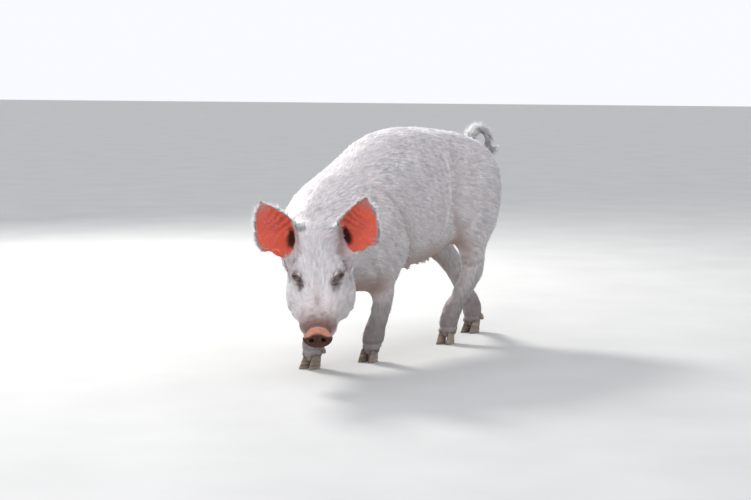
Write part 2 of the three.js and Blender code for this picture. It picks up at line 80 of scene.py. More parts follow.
SNOUT_AT = on_head(0, FACE_LENGTH - 12, -69)
SNOUT = np.array(turned(52 - 25, 30, -2.6))


def to_snout(p):
    """Points in the frame of the snout's disc, in mm: left, forward out of the disc, and up."""
    return (p - SNOUT_AT) @ SNOUT / MM * np.array([1.0, -1.0, 1.0])


def to_pig(p):
    return p / MM - SHIFT


def smooth(x, low, high):
    t = np.clip((x - low) / (high - low), 0, 1)
    return t * t * (3 - 2 * t)


def blend(a, b, share):
    return a * (1 - share) + b * share


def unit(v):
    return v / np.linalg.norm(v, axis=-1, keepdims=True)


def angles(count):
    return np.linspace(0, 2 * np.pi, count, endpoint=False)


def between(x, low, high, fall, end):
    """1 from high to fall, and 0 before low and beyond end."""
    return smooth(x, low, high) * (1 - smooth(x, fall, end))


# ---------------------------------------------------------------- mesh helpers


def arrays(mesh):
    mesh.calc_loop_triangles()
    v = np.empty(len(mesh.vertices) * 3, np.float32)
    mesh.vertices.foreach_get("co", v)
    t = np.empty(len(mesh.loop_triangles) * 3, np.int32)
    mesh.loop_triangles.foreach_get("vertices", t)
    return v.reshape(-1, 3).astype(float), t.reshape(-1, 3)


def welded(v, t, digits=6):
    key = np.round(v, digits)
    _, first, inverse = np.unique(key, axis=0, return_index=True, return_inverse=True)
    return v[first], inverse.reshape(-1)[t]


def face_normals(v, t):
    return np.cross(v[t[:, 1]] - v[t[:, 0]], v[t[:, 2]] - v[t[:, 0]])


def gather(index, values, count):
    return np.stack([np.bincount(index, values[:, k], count) for k in range(values.shape[1])], 1)


def normals_of(v, t):
    f = face_normals(v, t)
    n = gather(t.reshape(-1), np.repeat(f, 3, 0), len(v))
    return n / np.maximum(np.linalg.norm(n, axis=1), 1e-12)[:, None]


def make_mesh(name, v, t):
    me = bpy.data.meshes.new(name)
    me.vertices.add(len(v))
    me.vertices.foreach_set("co", np.asarray(v, np.float32).reshape(-1))
    me.loops.add(len(t) * 3)
    me.loops.foreach_set("vertex_index", np.asarray(t, np.int32).reshape(-1))
    me.polygons.add(len(t))
    me.polygons.foreach_set("loop_start", np.arange(0, len(t) * 3, 3, dtype=np.int32))
    me.update()
    me.polygons.foreach_set("use_smooth", np.ones(len(t), bool))
    return me


def add_attribute(me, name, values):
    a = me.attributes.new(name, "FLOAT", "POINT")
    a.data.foreach_set("value", np.asarray(values, np.float32))


def make_object(name, mesh):
    o = bpy.data.objects.new(name, mesh)
    bpy.context.scene.collection.objects.link(o)
    return o


def evaluated(o):
    bpy.context.view_layer.update()
    graph = bpy.context.evaluated_depsgraph_get()
    me = bpy.data.meshes.new_from_object(o.evaluated_get(graph))
    o.modifiers.clear()
    old = o.data
    o.data = me
    bpy.data.meshes.remove(old)
    return me


def set_group(o, name, weights, levels=24):
    vg = o.vertex_groups.new(name=name)
    step = np.round(np.clip(weights, 0, 1) * levels).astype(int)
    for level in range(1, levels + 1):
        index = np.nonzero(step == level)[0]
        if len(index):
            vg.add(index.tolist(), level / levels, "REPLACE")


def catmull(points, u):
    """Points of a Catmull-Rom curve, u from 0 to 1 over evenly weighted spans."""
    p = np.asarray(points, float)
    s = np.clip(u, 0, 1) * (len(p) - 1)
    i = np.minimum(s.astype(int), len(p) - 2)
    t = s - i if p.ndim == 1 else (s - i)[..., None]
    a, b, c, d = (p[np.clip(i + k, 0, len(p) - 1)] for k in (-1, 0, 1, 2))
    square, cube = 2 * a - 5 * b + 4 * c - d, 3 * b - a - 3 * c + d
    return 0.5 * (2 * b + (c - a) * t + square * t**2 + cube * t**3)


def bag(rings):
    """A closed skin from rings of points, one list per ring, with a pole at each end."""
    n = rings.shape[1]
    count = len(rings)
    v = np.concatenate([rings.reshape(-1, 3), [rings[0].mean(0)], [rings[-1].mean(0)]])
    k = np.arange(n)
    t = []
    for r in range(count - 1):
        a, b = r * n + k, r * n + (k + 1) % n
        t.append(np.stack([a, b, b + n], 1))
        t.append(np.stack([a, b + n, a + n], 1))
    last = (count - 1) * n
    t.append(np.stack([np.full(n, count * n), (k + 1) % n, k], 1))
    t.append(np.stack([np.full(n, count * n + 1), last + k, last + (k + 1) % n], 1))
    t = np.concatenate(t)
    volume = np.einsum("ij,ij->i", v[t[:, 0]], np.cross(v[t[:, 1]], v[t[:, 2]])).sum()
    return v, t if volume > 0 else t[:, ::-1]


# ---------------------------------------------------------------- ears and tail, as fine closed skins

LEGS = ["leg_front_left", "leg_front_right", "leg_hind_left", "leg_hind_right"]
FLESH = ["head", "snout", "neck", "trunk", *LEGS]
EARS = {
    "left": {"side": 1, "root": (68, -4, -34), "splay": 25, "lean": 14, "turn": 13},
    "right": {"side": -1, "root": (-72, -2, -36), "splay": 31, "lean": 16, "turn": 22},
}
EAR_LENGTH = 150.0
EAR_ROOT = 34.0  # how far the ear's sheet runs on below its root
EAR_LOBE = 0.27  # ear lengths below the root at which the lobe closes
EAR_CURL = 0.51
EAR_TIP_CURL = 0.14
EAR_BEND = 16.0
EAR_DISH = 10.0
EAR_OUTER = [64, 76, 72, 56, 33, 3]  # half widths from root to tip
EAR_INNER = [24, 32, 30, 22, 12, 3]
EAR_EDGE = 0.4  # power that rounds the ear's edge
for ear in EARS.values():
    side = ear["side"]
    ear["at"] = on_head(*ear["root"])
    opened = turned(0, 0, side * ear["splay"]) @ turned(90 - ear["lean"], 0)
    opened = opened @ turned(0, 0, -side * ear["turn"])
    ear["frame"] = HEAD @ np.array(opened)


def ear_half(along, across):
    a = np.clip(along, 0, 1)
    lobe = np.sqrt(np.clip(1 - (np.minimum(along, 0) / EAR_LOBE) ** 2, 0.05, 1))
    return np.where(across > 0, catmull(EAR_OUTER, a), catmull(EAR_INNER, a)) * lobe


def ear_sheet(side, along, across):
    half = ear_half(along, across)
    reach = across * half
    curl = (EAR_CURL + (EAR_TIP_CURL - EAR_CURL) * along) * reach * reach / half
    return np.stack([side * reach, along * EAR_LENGTH, curl + EAR_BEND * along**2 - EAR_DISH], -1)


def ear_normal(side, along, across):
    """Out of the ear's opening."""
    e = 0.01
    up = ear_sheet(side, along + e, across) - ear_sheet(side, along - e, across)
    out = ear_sheet(side, along, across + e) - ear_sheet(side, along, across - e)
    return unit(np.cross(out, up) * side)


def ear_skin(ear, thick_root, thick_tip, alongs=70, rounds=60):
    side = ear["side"]
    row = np.linspace(-EAR_ROOT / EAR_LENGTH, 1, alongs + 1)
    along, angle = np.meshgrid(row, angles(rounds), indexing="ij")
    across = np.cos(angle)
    thick = thick_root + (thick_tip - thick_root) * np.clip(along, 0, 1)
    lift = np.sign(np.sin(angle)) * np.abs(np.sin(angle)) ** EAR_EDGE * thick
    p = ear_sheet(side, along, across) + ear_normal(side, along, across) * lift[..., None]
    return bag(ear["at"] + (p * MM) @ ear["frame"].T)


BORDER_ACROSS = [-0.94, -0.42, 0.10, 0.40, 1.0]
BORDER_ALONG = [0.21, 0.02, -0.14, -0.21, -0.24]  # where the head covers the ear's root


def ear_border(across):
    return np.interp(across, BORDER_ACROSS, BORDER_ALONG)


def ear_bowl(ear, rounds=72):
    """The room in front of an ear's sheet, cut out of the head: a plug with the opening's outline."""
    angle = angles(rounds)
    across = 0.93 * np.cos(angle)
    share = (1 - np.cos(angle)) / 2
    end = ear_border(0.93) + (ear_border(-0.93) - ear_border(0.93)) * share
    along = np.where(np.sin(angle) > 0, end + 0.7 * np.sin(angle), ear_border(across))
    rings = []
    for depth, sizes in ((0, np.linspace(0.06, 1, 14)), (90, np.linspace(1, 0.06, 5))):
        for size in sizes:
            a, c = 0.2 + (along - 0.2) * size, 0.05 + (across - 0.05) * size
            ring = ear_sheet(ear["side"], a, c) + [0, 0, depth]
            ring[:, 1] -= depth * (0.16 + 0.45 * smooth(c, 0.0, 0.5)) * (a < 0.2)
            rings.append(ring)
    return bag(ear["at"] + (np.array(rings) * MM) @ ear["frame"].T)


def to_ear(ear, p):
    return (p - ear["at"]) @ ear["frame"] / MM


def on_sheet(ear, p, limit):
    """How far along and across an ear's sheet each point is, and how far in front of it, in mm."""
    q = to_ear(ear, p)
    along, reach = q[:, 1] / EAR_LENGTH, q[:, 0] * ear["side"]
    across = reach / np.maximum(ear_half(along, reach), 1)
    sheet = ear_sheet(ear["side"], along, np.clip(across, -limit, limit))
    return along, across, q[:, 2] - sheet[:, 2]


TAIL_SPINE = [(6, 372, 556), (5, 408, 584), (4, 428, 608), (11, 446, 624), (30, 459, 620)]
TAIL_SPINE += [(41, 464, 600), (41, 463, 580), (49, 470, 565), (60, 477, 568)]
TAIL = np.array([place(*at) for at in TAIL_SPINE])
TAIL_ROOT_RADIUS = 16.0
TAIL_TIP_RADIUS = 5.0


def even(points, count):
    """Points evenly spaced along a Catmull-Rom curve."""
    fine = catmull(points, np.linspace(0, 1, 800))
    run = np.concatenate([[0], np.cumsum(np.linalg.norm(np.diff(fine, axis=0), axis=1))])
    at = np.linspace(0, run[-1], count)
    return np.stack([np.interp(at, run, fine[:, k]) for k in range(3)], 1)


def tail_skin(grow):
    spine = even(TAIL, 90)
    share = np.linspace(0, 1, 90)
    along = unit(np.gradient(spine, axis=0))
    side = unit(np.cross(along, [0.2, 1, 0.1]))
    above = np.cross(side, along)
    radius = (blend(TAIL_ROOT_RADIUS, TAIL_TIP_RADIUS, np.sqrt(share)) + grow) * MM
    radius = radius * np.sqrt(np.clip((1.0001 - share) / 0.03, 0.01, 1))
    angle = angles(20)
    ring = side[:, None] * np.cos(angle)[:, None] + above[:, None] * np.sin(angle)[:, None]
    return bag(spine[:, None] + ring * radius[:, None, None])


# ---------------------------------------------------------------- one skin over all the flesh

VOXEL = 0.0030
SMOOTH_TURNS = 180
OVERLAP = 0.0006  # how far each piece of flesh grows over the cuts between them
EAR_PAD = 1.6  # extra half thickness that the ears have while they are remeshed
EAR_THICK = (3.2, 1.5)  # half thickness at an ear's root and tip
SOCKET = 0.0128  # radius of the globe round each eye
NOSTRILS = (-15.5, 15.5)  # how far left each lies on the snout's disc, in mm
NOSTRIL_ROOM = 0.0098
NOSTRIL_SLANT = 0.12
eyes = {side: np.mean(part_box(f"eye_{side}"), axis=0) for side in EARS}


def joined(parts):
    vs, ts, start = [], [], 0
    for v, t in parts:
        vs.append(v)
        ts.append(t + start)
        start += len(v)
    return np.concatenate(vs), np.concatenate(ts)


def grown_copy(name):
    v, t = welded(*arrays(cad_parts[name].data))
    return v + normals_of(v, t) * OVERLAP, t


def globe(centre, radius, rounds=32, alongs=20):
    a = np.linspace(0.02, np.pi - 0.02, alongs)[:, None]
    b = angles(rounds)[None]
    ring = np.stack([np.sin(a) * np.cos(b), np.sin(a) * np.sin(b), np.cos(a) * np.ones_like(b)], -1)
    return bag(centre + ring * radius)


def nearness(p, centre, low, high):
    """1 within low of a place and 0 beyond high, in mm."""
    return 1 - smooth(np.linalg.norm(p - centre, axis=1) / MM, low, high)


def ear_share(p):
    share = np.zeros(len(p))
    for ear in EARS.values():
        along, across, gap = on_sheet(ear, p, 1)
        near = smooth(along * EAR_LENGTH, 4, 26) * (1 - smooth(np.abs(across), 1.15, 1.5))
        share = np.maximum(share, near * (1 - smooth(np.abs(gap), 16, 30)))
    return share


def head_share(p):
    x, y, z = to_head(p).T
    return between(y, 0, 60, 330, 380) * (1 - smooth(np.hypot(x, z + 75), 130, 170))


def leg_share(p):
    _, y, z = to_pig(p).T
    return np.where(y < 60, 1 - smooth(z, 150, 250), 1 - smooth(z, 210, 330)) * (1 - head_share(p))


def tail_share(p):
    spine = even(TAIL, 40)
    gap = np.full(len(p), 1e3)
    near = np.nonzero(np.linalg.norm(p - spine.mean(0), axis=1) < 0.16)[0]
    if len(near):
        gap[near] = np.linalg.norm(p[near, None] - spine[None, 4:], axis=2).min(1) / MM
    return 1 - smooth(gap, 22, 34)


def softness(p):
    """How much smoothing the skin takes, from 0 to 1."""
    w = 1 - 0.9 * leg_share(p)
    w = np.minimum(w, 1 - 0.91 * head_share(p))
    w = np.minimum(w, 1 - 0.5 * smooth(to_head(p)[:, 1], -120, 20))
    w = np.where(to_snout(p)[:, 1] > -9, 0.012, w)
    z = to_pig(p)[:, 2]
    w = np.where(z < 60, np.minimum(w, 0.05), w)
    w = np.minimum(w, 1 - 0.985 * ear_share(p))
    return np.minimum(w, 1 - 0.98 * tail_share(p))


def add_modifier(o, kind, **values):
    made = o.modifiers.new(kind.lower(), kind)
    for key, value in values.items():
        setattr(made, key, value)


def cut(v, t, tools):
    """A closed mesh less other closed meshes."""
    o = make_object("cut", make_mesh("cut", v, t))
    helpers = [make_object("tool", make_mesh("tool", *tool)) for tool in tools]
    for helper in helpers:
        add_modifier(o, "BOOLEAN", operation="DIFFERENCE", solver="MANIFOLD", object=helper)
    result = arrays(evaluated(o))
    for used in [o, *helpers]:
        bpy.data.objects.remove(used)
    return result


def build_skin():
    bowls = [ear_bowl(ear) for ear in EARS.values()]
    parts = [grown_copy(name) for name in FLESH]
    for k in (FLESH.index("head"), FLESH.index("neck")):
        parts[k] = cut(*parts[k], bowls)
    parts += [ear_skin(ear, *(thick + EAR_PAD for thick in EAR_THICK)) for ear in EARS.values()]
    parts += [globe(c, SOCKET) for c in eyes.values()]
    parts += [globe(SNOUT_AT + SNOUT @ (np.array([x, -8, 1]) * MM), NOSTRIL_ROOM) for x in NOSTRILS]
    parts.append(tail_skin(0.3))
    o = make_object("skin", make_mesh("skin", *joined(parts)))
    add_modifier(o, "REMESH", mode="VOXEL", voxel_size=VOXEL)
    v, _ = arrays(evaluated(o))
    set_group(o, "soft", softness(v))
    add_modifier(o, "SMOOTH", factor=0.5, iterations=SMOOTH_TURNS, vertex_group="soft")
    v, t = arrays(evaluated(o))
    bpy.data.objects.remove(o)
    return v, t


# ---------------------------------------------------------------- the skin's own detail


def split_long(v, t, target):
    """Splits every edge longer than target(middle), once."""
    e = np.sort(np.concatenate([t[:, [0, 1]], t[:, [1, 2]], t[:, [2, 0]]]), 1)
    key = e[:, 0].astype(np.int64) * len(v) + e[:, 1]
    unique, inverse = np.unique(key, return_inverse=True)
    a, b = unique // len(v), unique % len(v)
    middle = (v[a] + v[b]) / 2
    long = np.linalg.norm(v[a] - v[b], axis=1) > target(middle)
    fresh = np.full(len(unique), -1)
    fresh[long] = len(v) + np.arange(long.sum())
    m = fresh[inverse].reshape(3, -1).T  # the new vertex on edges 01, 12 and 20
    v = np.concatenate([v, middle[long]])
    out = []
    for code in range(8):
        pick = np.nonzero(((m[:, 0] >= 0) + 2 * (m[:, 1] >= 0) + 4 * (m[:, 2] >= 0)) == code)[0]
        if not len(pick):
            continue
        c = [t[pick, 0], t[pick, 1], t[pick, 2]]
        n = [m[pick, 0], m[pick, 1], m[pick, 2]]
        if code == 0:
            new = [(c[0], c[1], c[2])]
        elif code == 7:
            new = [(c[0], n[0], n[2]), (n[0], c[1], n[1]), (n[2], n[1], c[2]), (n[0], n[1], n[2])]
        else:
            turn = {1: 0, 2: 1, 4: 2, 3: 0, 6: 1, 5: 2}[code]
            c = c[turn:] + c[:turn]
            n = n[turn:] + n[:turn]
            if code in (1, 2, 4):
                new = [(c[0], n[0], c[2]), (n[0], c[1], c[2])]
            else:
                new = [(c[0], n[0], c[2]), (n[0], n[1], c[2]), (n[0], c[1], n[1])]
        out += [np.stack(tri, 1) for tri in new]
    return v, np.concatenate(out)


def relaxed(v, t, weight, turns):
    """Laplacian smoothing where weight isn't zero."""
    e = np.concatenate([t[:, [0, 1]], t[:, [1, 2]], t[:, [2, 0]]])
    count = np.bincount(e[:, 0], minlength=len(v))[:, None]
    for _ in range(turns):
        mean = gather(e[:, 0], v[e[:, 1]], len(v)) / np.maximum(count, 1)
        v = v + (mean - v) * weight[:, None]
    return v


def bump(x, width):
    return np.exp(-((x / width) ** 2))


def noise(p, size, seed):
    """Smooth noise of about this size in mm, between -1 and 1, from a sum of turned waves."""
    r = np.random.default_rng(seed)
    total = np.zeros(len(p))
    for _ in range(14):
        d = r.normal(size=3)
        d *= 2 * np.pi / (size * r.uniform(0.7, 1.5)) / np.linalg.norm(d)
        total += np.sin(p / MM @ d + r.uniform(0, 6.28))
    return total / 14 * 1.6


EYE_LOOK = np.array([0.77, -0.18, 0.61]) / np.linalg.norm([0.77, 0.18, 0.61])  # the left eye's axis
EYE_BALL = 12.0
LID_MIDDLE = 1.5  # mm that the opening lies above the eye's axis
LID_HALF = 9.5  # half of the slit's length
LID_OPEN = 4.6


def eye_axes(name):
    """An eye's axis, the way of its slit down to its inner corner, and the way up to its brow."""
    side = EARS[name]["side"]
    axis = HEAD @ (EYE_LOOK * [side, 1, 1])
    slit = HEAD @ np.array([-side * 0.60, -0.80, 0])
    slit = unit(slit - axis * (slit @ axis))
    above = np.cross(axis, slit) * side
    if above @ (HEAD @ np.array([0, 0, 1.0])) < 0:
        above = -above
    return axis, slit, above


def to_eye(name, p):
    """Points round an eye, in mm: along its slit, up towards the brow, and out of the head."""
    axis, slit, above = eye_axes(name)
    q = (p - eyes[name]) / MM
    return np.stack([q @ slit, q @ above, q @ axis], 1)


def lid_shape(v, n):
    """Lids, wrinkles and the brow round each eye."""
    out = v.copy()
    for name in EARS:
        near = np.nonzero(np.linalg.norm(v - eyes[name], axis=1) < 0.06)[0]
        q = to_eye(name, v[near])
        u, w = q[:, 0], q[:, 1]  # mm along the slit, towards its inner corner, and above it
        opening = LID_OPEN * np.clip(1 - (u / LID_HALF) ** 2, 0, 1) ** 0.8
        upper = LID_MIDDLE + 0.9 * opening + 0.4 * (u / LID_HALF)
        lower = LID_MIDDLE - 0.75 * opening + 0.3 * (u / LID_HALF)
        rim = np.where(w > LID_MIDDLE, w - upper, lower - w)  # mm outside the opening
        rim = np.where(np.abs(u) > LID_HALF, np.hypot(np.abs(u) - LID_HALF, w), rim)
        inside = rim < 0
        radius = np.linalg.norm(q, axis=1)
        want = np.where(inside, EYE_BALL - 3.0, EYE_BALL + 1.2)
        want = want + 1.6 * bump(rim - 1.8, 1.6) * (~inside)
        share = 1 - smooth(rim, 3.5, 11)
        scale = 1 + (want / np.maximum(radius, 1) - 1) * share
        covered = (EYE_BALL + 1.3) / np.maximum(radius, 1)
        scale = np.where(inside, scale, np.maximum(scale, covered))
        crease = -1.5 * bump(rim - 7.5 - 1.0 * (w > 0), 1.3) * smooth(16 - np.abs(u), 0, 8)
        crease -= 0.8 * bump(rim - 12.5, 1.5) * smooth(18 - np.abs(u), 0, 9)
        crease += 1.6 * bump(rim - 10.5, 2.6) * (w > 0) * smooth(20 - np.abs(u), 0, 10)
        below, inner = 0.8 * u - 0.6 * w, 0.6 * u + 0.8 * w
        curve = 0.03 * inner**2
        crease -= 3.0 * bump(below - 15 - curve, 2.4) * bump(inner - 2, 12)
        crease += 2.2 * bump(below - 20 - curve, 3.4) * bump(inner - 2, 11)
        crease -= 2.4 * bump(below - 26 - curve, 2.8) * bump(inner - 3, 12)
        moved = eyes[name] + (v[near] - eyes[name]) * scale[:, None]
        out[near] = moved + n[near] * (crease * MM * smooth(rim, 0, 4))[:, None]
    return out


def body_folds(p):
    """How far behind the edges of shoulder and flank, in mm, and how near the stifle's fold."""
    _, y, z = to_pig(p).T
    shoulder = y + 166 + 0.8 * (z - 308) - 14 * np.sin(np.clip((z - 300) / 220, 0, 1) * np.pi)
    flank = y - 86 - 12 * np.sin((z - 360) / 90)
    stifle = np.hypot((y - 165 + 0.55 * (z - 350)) / 13, (z - 350) / 60)
    return shoulder, flank, stifle


DISC_REACH = 39
DISC_WINGS = 6  # how high the disc's corners stand, in mm above its middle
DISC_HUMP = 25
DISC_HUMP_REACH = 23
DISC_CHIN = 31


def disc_height(x, z):
    """0 at the level of the disc's wings and 1 on its top edge."""
    return (z - DISC_WINGS) / (DISC_HUMP * bump(x, DISC_HUMP_REACH) + 1)


def disc_reach(x, z):
    """0 in the middle of the snout's disc and 1 on its rim."""
    tall = np.where(z > DISC_WINGS, disc_height(x, z), (DISC_WINGS - z) / DISC_CHIN)
    return np.hypot(x / DISC_REACH, np.maximum(tall, 0))


def nostril_reach(x, z, nostril, slant=0.0):
    """0 in the middle of a nostril and 1 on its rim."""
    aside = x - nostril
    return np.hypot(aside / 7.2, (z - 1 + slant * aside * np.sign(nostril)) / 8.2)


BODY_DEPTH = 2.6  # how far the skin lies below the coat's outside, in mm
FACE_DEPTH = 1.3
SNOUT_DEPTH = 0.4
TAIL_DEPTH = 1.0
CANAL_DEPTH = 3.5
KNEE = 163  # heights, in mm
HOCK = 212
TEAT_ASIDE = 38
TEAT_ROW = (-150, 215, 7)  # from, to and how many


def coat_depth(v, n):
    """How far the skin lies below the coat's outside, in mm."""
    depth = blend(BODY_DEPTH, FACE_DEPTH, np.maximum(head_share(v), leg_share(v)))
    depth = np.where(to_snout(v)[:, 1] > -10, SNOUT_DEPTH, depth)
    ears, tail = ear_share(v), tail_share(v)
    across = ear_place(v)[2]
    ear_depth = (EAR_PAD + 0.2) * (1 - 0.75 * smooth(np.abs(across), 0.6, 0.95))
    depth = blend(blend(depth, ear_depth, ears), TAIL_DEPTH, tail)
    return depth + CANAL_DEPTH * marks(v, n)["canal"]


def snout_relief(p):
    """A rim round a dished disc, a groove between the nostrils and folds behind the disc."""
    x, y, z = to_snout(p).T
    r = disc_reach(x, z)
    d = 1.0 * bump(r - 0.88, 0.09) - 1.6 * (1 - smooth(r, 0.5, 0.82))
    d -= bump(x, 3) * (1 - smooth(z, 2, 20))
    d += 1.4 * bump(x, 15) * bump(z - 20, 9)
    d *= smooth(y, 2, 8)
    folds = 2.0 * bump(y + 23, 7) - 2.6 * bump(y + 11, 4.5)
    folds -= 1.8 * bump(y + 35 + 3 * np.sin(x / 9), 4) * (1 - smooth(np.abs(x), 26, 40))
    for at in (46, 55, 65):
        folds -= 1.1 * bump(y + at + 2.5 * np.sin(x / 8 + at), 2.6) * (1 - smooth(np.abs(x), 14, 32))
    return d + folds * smooth(z, -6, 14)


def face_relief(p, ears):
    """The mouth's line and lip, the bridge of the nose, brows, cheeks, temples and the neck's folds."""
    x, y, z = to_head(p).T
    line = z + 97 + 0.0016 * (y - 190) ** 2 * (y < 190) - 3 * np.sin(y * 0.035)
    mouth = 1.6 * bump(line - 6, 5) + 1.4 * bump(line + 7, 5) - 3.4 * bump(line, 2.2)
    d = mouth * between(y, 168, 190, 276, 290) * smooth(np.abs(x), 16, 30)
    d -= 2.2 * bump(x, 10) * bump(y - 95, 34) * smooth(z, -40, -10)
    d -= 1.6 * bump(x, 5) * bump(y - 196, 16) * smooth(z, -60, -30)
    for side in (-1, 1):
        out = side * x
        d -= 4.5 * bump(out - 47, 12) * bump(y - 146, 22) * smooth(z, -80, -40)
        d += 2.2 * bump(out - 30, 9) * bump(y - 170, 30) * smooth(z, -80, -40)
        d -= 3.0 * bump(y - 186 - 0.25 * (z + 80), 8) * smooth(out, 36, 54) * (z < -50)
        d -= 5.0 * bump(y - 62, 36) * smooth(out, 42, 62) * bump(z + 62, 46) * (1 - ears)
    neck = between(-y, -30, 40, 120, 200) * smooth(np.abs(x), 26, 70)
    for at, strength in ((22, 2.6), (66, 2.0), (112, 1.4)):
        wave = y + at + 9 * np.sin(x / 37 + at) - 0.16 * np.abs(x)
        d -= strength * bump(wave, 6.5) * neck
    return d


def trunk_relief(p, face, ears):
    """Shoulder blade, elbow fold, flank, the hollow before the thigh, faint ribs and muscle."""
    x, y, z = to_pig(p).T
    side_on = smooth(np.abs(x), 60, 105)
    shoulder, flank, stifle = body_folds(p)
    blade = 3.8 * bump(shoulder + 14, 13) - 11.0 * bump(shoulder - 10, 12)
    blade += 2.6 * bump(shoulder - 33, 12) - 3.2 * bump(shoulder - 54, 10)
    d = blade * between(z, 200, 250, 455, 530)
    low = 3.6 * bump(flank + 10, 12) - 14.0 * between(flank, -4, 14, 18, 120)
    d += low * between(z, 300, 360, 520, 590) - 5.0 * np.exp(-(stifle**2))
    ribs = np.sin((y + 0.35 * z) / 34 * 2 * np.pi)
    d += 0.35 * ribs * between(y, -110, -40, 120, 190) * smooth(z, 300, 380)
    d *= side_on
    d += 1.3 * noise(p, 90, 5) * (1 - np.maximum(face, ears)) * smooth(z, 30, 120)
    return d + 0.45 * noise(p, 26, 8) * (1 - ears) * smooth(z, 20, 90)


def under_relief(p, n):
    """Teats in two rows, and the small pit and the groove under the tail."""
    x, y, z = to_pig(p).T
    d = np.zeros(len(p))
    for side in (-1, 1):
        for at in np.linspace(*TEAT_ROW):
            gap = np.hypot(x - side * TEAT_ASIDE, y - at)
            d += (5.5 * bump(gap, 4.2) + 1.6 * bump(gap, 11)) * (n[:, 2] < -0.3)
    pit = np.hypot(x - 4, z - 532)
    d += (2.6 * bump(pit - 11, 5) - 5.0 * bump(pit, 5)) * (y > 330) * (n[:, 1] > 0.2)
    return d - 3.0 * smooth(y, 340, 372) * bump(x - 3, 5) * between(z, 330, 380, 480, 520)


def leg_relief(p, legs):
    """Wrinkles at knee and hock, and the swelling over the claws."""
    x, y, z = to_pig(p).T
    d = 2.2 * bump(z - 37, 6) - 1.8 * bump(z - 50, 5)
    for at, joint in ((KNEE, y < 60), (HOCK, y >= 60)):
        for k in range(-2, 3):
            d -= 0.7 * bump(z - at - 9 * k + 2 * np.sin(x / 7), 1.8) * joint
    return d * legs


def detail(v, t):
    """The skin below the coat's outside, with its folds and swellings."""
    n = normals_of(v, t)
    face, legs, ears = head_share(v), leg_share(v), ear_share(v)
    d = snout_relief(v) + face_relief(v, ears) + trunk_relief(v, face, ears)
    d += under_relief(v, n) + leg_relief(v, legs) - coat_depth(v, n)
    return v + n * (d * MM)[:, None]


def wrinkled_skin():
    """The skin, finer where the face needs it, with its folds, lids and nostrils."""
    v, t = build_skin()

    def target(middle):
        length = np.full(len(middle), 9.0)
        x, y, z = to_snout(middle).T
        length = np.where((y > -45) & (np.abs(x) < 60) & (np.abs(z) < 60), 2.2, length)
        for c in eyes.values():
            gap = np.linalg.norm(middle - c, axis=1) / MM
            length = np.where(gap < 40, 1.9, length)
            length = np.where(gap < 24, 1.1, length)
        for ear in EARS.values():
            gap = np.linalg.norm(middle - ear["at"], axis=1) / MM
            length = np.where(gap < 75, np.minimum(length, 2.1), length)
        return length * MM

    for _ in range(3):
        v, t = split_long(v, t, target)
    fine = np.zeros(len(v))
    for c in eyes.values():
        fine = np.maximum(fine, nearness(v, c, 20, 42))
    fine = np.maximum(fine, 0.5 * smooth(to_snout(v)[:, 1], -40, -20) * head_share(v))
    v = relaxed(v, t, fine * 0.5, 10)
    v = detail(v, t)
    v = lid_shape(v, normals_of(v, t))
    for nostril in NOSTRILS:
        x, y, z = to_snout(v).T
        r = nostril_reach(x, z, nostril, NOSTRIL_SLANT)
        front = smooth(y, -6, 2)
        inward = -11 * (1 - smooth(r, 0.45, 1.0)) + 1.2 * bump(r - 1.22, 0.22)
        v = v + (SNOUT @ np.array([0, -1.0, 0])) * (inward * front * MM)[:, None]
    return v, t


# ---------------------------------------------------------------- the coat

LEG_AXES = {  # each from the top down, in mm on the pig
    "front_left": [(80, -225, 300), (63, -203, 163), (37, -206, 74), (30, -224, 0)],
    "front_right": [(-76, -285, 292), (-60, -340, 160), (-48, -386, 72), (-42, -406, 0)],
    "hind_left": [(84, 268, 340), (72, 308, 212), (52, 204, 76), (50, 183, 0)],
    "hind_right": [(-76, 268, 340), (-42, 385, 216), (-2, 450, 76), (2, 432, 0)],
}


def leg_axis(name, z):
    """Where a leg's axis is at a height, in mm on the pig."""
    p = np.array(LEG_AXES[name], float)[::-1]
    return np.stack([np.interp(z, p[:, 2], p[:, k]) for k in (0, 1)], 1)


def nearest_leg(p):
    q = to_pig(p)
    gaps = np.stack([np.linalg.norm(q[:, :2] - leg_axis(name, q[:, 2]), axis=1) for name in LEG_AXES])
    return gaps.argmin(0)


def ear_place(p):
    """Which ear a point is nearer, how far along and across it is, and how far in front, in mm."""
    ears = EARS.values()
    far = [np.linalg.norm(to_ear(ear, p) - [0, 60, 0], axis=1) for ear in ears]
    which = np.argmin(far, axis=0)
    places = np.array([on_sheet(ear, p, 1.2) for ear in ears])
    return which, *places[which, :, np.arange(len(p))].T


